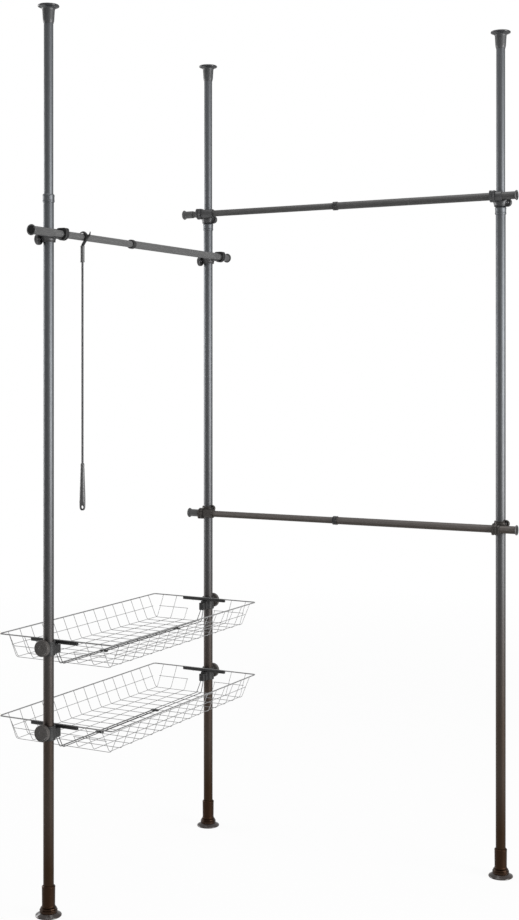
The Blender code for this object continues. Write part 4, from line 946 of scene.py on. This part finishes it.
class WARDROBE_OT_baskets(Operator):
    """Make the two baskets from bent and welded wires"""

    bl_idname = "wardrobe.baskets"
    bl_label = "Wire baskets"

    def execute(self, context):
        sizes = chosen(context)
        drop = rim_drop(sizes)
        for basket in BASKETS:
            low, high, middle = box(basket)
            half_wide, half_long, _ = (high - low) / 2.0 - drop
            place = (middle[0], middle[1], high[2] - drop)
            parts = [placed(part, place) for part in basket_wires(sizes, half_wide, half_long)]
            piece(f"{basket}_wires", parts, "wire_coat", f"{basket}_body", [basket])
        return {"FINISHED"}


def basket_holder(basket, pole, rim):
    """Ring, grooved bar, arm, socket and knob boss, with the basket towards +Y.

    The bar is its section carried along X, shrunk towards its heart near both ends.
    """
    low, high, _ = box(f"{basket}_holder_{pole}")
    half = (high[0] - low[0]) / 2.0
    top, bottom = high[2] - rim, low[2] - rim
    knob = box(f"{basket}_knob_{pole}")[2][2] - rim
    ring = moulding(
        (0.0, bottom, (164, 2, 6), (204, 0, 6), (212, 10, 6), (212, 40, 6), (205, 52, 6)),
        (0.0, top, (205, -52, 6), (212, -40, 6), (212, -10, 6), (204, 0, 6), (164, -2, 6)), steps=4,
    )
    section = moulding(
        (BAR, top, (-60, 0, 8), (-60, -85, 14), (-42, -110, 14), (42, -110, 14), (60, -85, 14), (60, 0, 8)),
        (BAR, top, (27, 0, 3)), (BAR, 0.0, (27, -27, 10), (-27, -27, 10)), (BAR, top, (-27, 0, 3)), steps=4,
    )
    stations = np.array([-half, -half, -half + 0.0010, half - 0.0010, half, half])
    shrink = np.array([0.0, 0.86, 1.0, 1.0, 0.86, 0.0])
    heart = np.array([BAR, top - 0.0098])
    bar = heart + (section[None] - heart) * shrink[:, None, None]
    across = np.repeat(stations[:, None], len(section), 1)
    boss = (0, -255, 0), (84, -255, 8), (95, -244, 10), (100, -170, 10), (0, -170, 0)
    front = BAR + 0.0060
    parts = [
        turned(ring, (0.0, 0.0, 0.0), "Z", 56),
        woven(np.concatenate([across[..., None], bar], -1)),
        soft_box((-0.0110, 0.0100, bottom + 0.0010), (0.0110, front - 0.0010, top - 0.0120), 0.0016),
        soft_box((-0.0088, 0.0270, -0.0414), (0.0088, 0.0508, -0.0156), 0.0018),
        turned(moulding((0.0, 0.0, *boss), closed=False), (0.0, 0.0, knob), "Y", 40),
    ]
    for x in (-0.0420, 0.0420):
        start, end = (x - 0.0009, front - 0.0004, top - 0.0120), (x + 0.0009, front + 0.0004, top - 0.0030)
        parts.append(soft_box(start, end, 0.0003, 3))
    return parts


def clamp_knob(node, place, out, sizes):
    """The clamp knob: ribbed rim, bevelled edge, and a shallow dish with a round button in its face."""
    low, high, centre = box(node)
    r = (high[0] - low[0]) / 2.0
    face = reach_from(node, place[1])
    loop = np.concatenate([
        outline((0.0, 0.0, (0, 163), (36, 163), (40, 168)), (0.0, BACK, (40, 0)), (r, BACK, (-8, 0), (-1, 4))),
        np.linspace((r, BACK + 0.0008), (r, face - 0.0022), 8),
        outline((r, face, (-6, -12), (-22, -1), (-30, 0), (-44, -2), (-52, -10)),
                (0.0, face, (82, -12), (76, -6), (68, -2), (30, 0), (0, 0))),
    ])
    loop[:, 1] *= out
    ribs = ribbed(sizes.knob_ribs, sizes.knob_rib, r - 0.0015, BACK + 0.0010, face - 0.0026, 0.0008)
    spun(f"{node}_grip", loop, (place[0], place[1], centre[2]), "knob_plastic", f"{node}_body", node,
         "Y", sizes.knob_ribs * 5, ribs)


class WARDROBE_OT_holders(Operator):
    """Make the basket holders with their clamp knobs"""

    bl_idname = "wardrobe.holders"
    bl_label = "Basket holders"

    def execute(self, context):
        sizes = chosen(context)
        for basket, pole, place, turn in seats(sizes):
            node = f"{basket}_holder_{pole}"
            parts = [placed(part, place, turn) for part in basket_holder(basket, pole, place[2])]
            piece(f"{node}_body", parts, "black_plastic", "corner_frame", [node])
            clamp_knob(f"{basket}_knob_{pole}", place, -math.cos(turn), sizes)
        return {"FINISHED"}


class WARDROBE_OT_supports(Operator):
    """Make the support wires under the baskets with their clips"""

    bl_idname = "wardrobe.supports"
    bl_label = "Basket supports"

    def execute(self, context):
        sizes = chosen(context)
        floor = -sizes.depth - sizes.mesh_wire * WIRE_CORNER - sizes.seat - sizes.support_wire
        for basket, pole, place, turn in seats(sizes):
            node = f"{basket}_support_{pole}"
            reach = reach_from(node, place[1]) - 0.0060
            inset = 0.0 if pole == "b" else 2.12 * sizes.support_wire + 2.0 * sizes.seat
            wires = []
            for side in (-1.0, 1.0):
                root, spread = side * 0.0052, side * (0.0090 - inset)
                line = [(root, 0.0455, -0.0240), (root, 0.0455, -0.0438)]
                line += [(spread, 0.0660, floor), (spread, reach, floor)]
                wires.append(swept(eased(line, 0.0070, 9, closed=False), sizes.support_wire, ACROSS, 12))
            blocks = (135, 60, -36, 26, 14), (30, 48, -38, -30, 4)
            clip = [soft_box((-x, reach - y, floor + bottom), (x, reach + y, floor + top), corner)
                    for x, y, bottom, top, corner in TENTH * np.array(blocks)]
            wires, clip = ([placed(part, place, turn) for part in parts] for parts in (wires, clip))
            piece(f"{node}_wires", wires, "support_coat", "corner_frame", [node])
            piece(f"{node}_clip", clip, "black_plastic", "corner_frame", ())
        return {"FINISHED"}


def forked_hook(base, sizes):
    """The forked hook: a horn that thins as it curls over the rail, and a prong that rises beside it."""
    wire = sizes.hook_wire
    r = span("side_rail_inner_tube", "Y")[2] + sizes.seat + wire * 1.1
    angle = np.radians(np.linspace(-30.0, 200.0, 40))
    arc = np.stack([r * np.cos(angle), 0.0 * angle, r * np.sin(angle)], 1)
    stem = [(0.0, 0.0, -0.0520), (0.0, 0.0, -0.0262), arc[0]]
    path = np.concatenate([eased(stem, 0.0050, 6, closed=False)[:-1], arc])
    to_tip = np.arange(len(path)) - len(path)
    size = wire * np.interp(to_tip, [-43, -34, -22, -16, -1], [1.40, 1.50, 0.95, 0.45, 0.32])
    horn = swept(path + base, size, ALONG, 16)
    rise = TENTH * np.array([(-20, 0, -40), (50, 0, 14), (108, 0, 62), (132, 0, 110), (140, 0, 160)])
    path = eased(arc[4] + rise, 0.0040, 6, closed=False)
    prong = swept(path + base, wire * np.linspace(1.30, 0.50, len(path)), ALONG, 16)
    hub = outline((0.0, 0.0, (0, -40), (34, -40), (44, -30), (44, 30), (34, 40), (0, 40)))
    parts = [horn, prong, turned(hub, base + arc[3], "Y", 32)]
    piece("retriever_fork", parts, "black_plastic", "retriever", ["retriever_hook"])


def ferrule(base):
    """The ferrule: a tapered sleeve with a bead at each end."""
    node = "retriever_ferrule"
    bottom, top, r = span(node)
    r += 0.0008
    loop = moulding(
        (0.0, bottom, (40, 0, 5)), (r, bottom, (-6, 0, 5), (0, 10, 5), (0, 34, 5), (-5, 42, 5)),
        (r, top, (-3, -44, 5), (0, -36, 5), (0, -12, 5), (-8, 0, 5)), (0.0, top, (40, 0, 5)), steps=4,
    )
    spun("retriever_sleeve", loop, base, "cap_plastic", "retriever", node, segments=40)


def shaft(base):
    """The shaft: a plain coated rod."""
    node = "retriever_shaft"
    bottom, top, r = span(node)
    loop = [(0.0, bottom), (r, bottom), (r, top), (0.0, top)]
    spun("retriever_rod", loop, base, "shaft_coat", "retriever", node, segments=32)


def handle(base):
    """The handle: a grip that swells towards its end, pressed flat along Y there and pierced for hanging."""
    bottom, top, r = span("retriever_handle")
    t = np.linspace(0.0, 1.0, 60)
    radius = r * np.interp(t, [0.0, 0.01, 0.05, 0.40, 0.68, 0.88, 0.95, 0.985, 1.0],
                           [0.56, 0.66, 0.68, 0.85, 1.02, 1.06, 1.02, 0.78, 0.48])
    grooves = np.exp(-(((t[:, None] - np.array([0.065, 0.085, 0.105])) / 0.004) ** 2)).sum(1)
    profile = np.stack([radius - 0.0004 * grooves, top - (top - bottom) * t], 1)
    points, faces = turned(np.concatenate([[(0.0, top)], profile, [(0.0, bottom)]]), base, "Z", 48)
    thick = np.interp(points[:, 2] - bottom, [0.0, 0.0160, 0.0240, 0.0330], [0.0032, 0.0034, 0.0052, r])
    points[:, 1] = base[1] + np.clip(points[:, 1] - base[1], -thick, thick)
    parts = [(points, faces)]
    grip = piece("retriever_grip", parts, "cap_plastic", "retriever", ["retriever_handle"])
    peg = outline((0.0, 0.0, (0, -200), (56, -200), (56, 200), (0, 200)))
    drill(grip, turned(peg, base + (0.0, 0.0, bottom + 0.0100), "Y", 40))


def drill(item, tool):
    """Cut a closed tool out of a piece and keep the result as the piece's mesh."""
    peg = bpy.data.objects.new("peg", closed_mesh("peg", [tool]))
    bpy.context.scene.collection.objects.link(peg)
    cut = item.modifiers.new("drill", "BOOLEAN")
    cut.operation = "DIFFERENCE"
    cut.object = peg
    drilled = bpy.data.meshes.new_from_object(item.evaluated_get(bpy.context.evaluated_depsgraph_get()))
    item.modifiers.clear()
    item.data = drilled
    bpy.data.objects.remove(peg)


class WARDROBE_OT_retriever(Operator):
    """Make the hanger retriever that hangs on the side rail"""

    bl_idname = "wardrobe.retriever"
    bl_label = "Hanger retriever"

    def execute(self, context):
        sizes = chosen(context)
        rail = box("side_rail_inner_tube")[2]
        base = np.array([rail[0], box("retriever_ferrule")[2][1], rail[2]])
        forked_hook(base, sizes)
        base[2] = 0.0
        ferrule(base)
        shaft(base)
        handle(base)
        return {"FINISHED"}


def studio_floor(scene):
    """A pale floor that shows white to the eye and still takes the wardrobe's shadow."""
    side = 12.0
    corners = [(-side, -side, 0.0), (side, -side, 0.0), (side, side, 0.0), (-side, side, 0.0)]
    mesh = bpy.data.meshes.new("studio_floor")
    mesh.from_pydata(corners, [], [(0, 1, 2, 3)])
    finish = Finish("studio_floor", 0.9, specular=0.0)
    seen = finish.node("ShaderNodeLightPath", output="Is Camera Ray")
    through = finish.node("ShaderNodeLightPath", output="Is Transmission Ray")
    apart = finish.node("ShaderNodeVectorMath", {"operation": "LENGTH"}, output="Value", i0=finish.place)
    fade_from, fade_over = 2.2, 3.5  # metres
    near_white = 0.94  # share of plain white near the wardrobe, which is all of it past the fade
    far = ((apart - fade_from) / fade_over).clamped()
    share = (seen + through).clamped() * (near_white + far * (1.0 - near_white))
    cloud = finish.noise(0.8, 2.0)
    finish.drive("Base Color", finish.blend(cloud, (0.88, 0.88, 0.88), (0.92, 0.92, 0.92)))
    matt = Value(finish.tree, finish.shader.outputs[0])
    glow = finish.node("ShaderNodeEmission", Color=WHITE)
    mix = finish.node("ShaderNodeMixShader", i0=share, i1=matt, i2=glow)
    finish.tree.links.new(mix.socket, finish.tree.nodes["Material Output"].inputs["Surface"])
    mesh.materials.append(finish.material)
    item = bpy.data.objects.new("studio_floor", mesh)
    scene.collection.objects.link(item)


def studio_sky(scene):
    """White where the eye or a glass looks, a grey where a mirror looks, and a soft even light elsewhere."""
    world = bpy.data.worlds.new("studio_sky")
    scene.world = world
    world.use_nodes = True
    back = world.node_tree.nodes["Background"]
    back.inputs["Color"].default_value = WHITE
    sky = Tree(world.node_tree)
    rays = ("Is Camera Ray", "Is Transmission Ray", "Is Glossy Ray")
    seen, through, mirrored = (sky.node("ShaderNodeLightPath", output=ray) for ray in rays)
    even_light, white, reflected = 0.30, 0.70, 0.18  # strengths: everywhere, added for the eye, and for a mirror
    strength = (seen + through).clamped() * white + mirrored * reflected + even_light
    world.node_tree.links.new(strength.socket, back.inputs["Strength"])


def studio_lamp(scene, name, place, target, wide, tall, power):
    """A soft box that faces its target."""
    light = bpy.data.lights.new(name, "AREA")
    light.shape = "RECTANGLE"
    light.size = wide
    light.size_y = tall
    light.energy = power
    item = bpy.data.objects.new(name, light)
    item.location = place
    way = np.subtract(target, place)
    level = math.hypot(way[0], way[1])
    item.rotation_euler = (math.atan2(level, -way[2]), 0.0, math.atan2(-way[0], way[1]))
    scene.collection.objects.link(item)


def studio_camera(scene):
    """The camera of the picture: level, with its frame shifted down."""
    view = bpy.data.cameras.new("view")
    view.sensor_width = 36.0
    view.lens = view.sensor_width * FOCAL / TALL
    view.shift_y = SHIFT / TALL
    view.clip_end = 60.0
    item = bpy.data.objects.new("view", view)
    item.location = CAMERA_PLACE
    item.rotation_euler = (math.pi / 2.0, 0.0, CAMERA_TURN)
    scene.collection.objects.link(item)
    scene.camera = item


class WARDROBE_OT_studio(Operator):
    """Make the floor, the lamps, the sky and the camera"""

    bl_idname = "wardrobe.studio"
    bl_label = "Studio"

    def execute(self, context):
        scene = context.scene
        scene.view_settings.view_transform = "Standard"
        studio_floor(scene)
        studio_sky(scene)
        studio_lamp(scene, "key_lamp", (7.2, -0.8, 1.75), (0.3, -0.4, 1.65), 4.0, 2.4, 440.0)
        studio_lamp(scene, "edge_lamp", (-5.0, -0.6, 1.8), (0.3, -0.4, 1.5), 4.0, 3.0, 190.0)
        studio_lamp(scene, "top_lamp", (0.4, -0.6, 5.2), (0.4, -0.4, 0.0), 3.0, 3.0, 60.0)
        studio_camera(scene)
        return {"FINISHED"}


class WARDROBE_PT_panel(Panel):
    """The wardrobe's tools in the sidebar"""

    bl_idname = "WARDROBE_PT_panel"
    bl_label = "Telescopic wardrobe"
    bl_space_type = "VIEW_3D"
    bl_region_type = "UI"
    bl_category = "Wardrobe"

    def draw(self, context):
        for operator in OPERATORS:
            self.layout.operator(operator.bl_idname)
        settings = context.scene.wardrobe
        for group in (settings.colours, settings.sizes):
            column = self.layout.column()
            for name in group.__annotations__:
                column.prop(group, name)


OPERATORS = (
    WARDROBE_OT_poles,
    WARDROBE_OT_feet,
    WARDROBE_OT_rails,
    WARDROBE_OT_clamps,
    WARDROBE_OT_baskets,
    WARDROBE_OT_holders,
    WARDROBE_OT_supports,
    WARDROBE_OT_retriever,
    WARDROBE_OT_studio,
)
CLASSES = (WardrobeColours, WardrobeSizes, WardrobeSettings, *OPERATORS, WARDROBE_PT_panel)


def register():
    """Register the classes and give the scene the wardrobe's settings."""
    for item in CLASSES:
        bpy.utils.register_class(item)
    bpy.types.Scene.wardrobe = PointerProperty(type=WardrobeSettings)


def unregister():
    """Take the settings and the classes away again."""
    del bpy.types.Scene.wardrobe
    for item in reversed(CLASSES):
        bpy.utils.unregister_class(item)


def main():
    """Make every piece and the studio."""
    register()
    for operator in OPERATORS:
        group, name = operator.bl_idname.split(".")
        getattr(getattr(bpy.ops, group), name)()


if __name__ == "__main__":
    main()
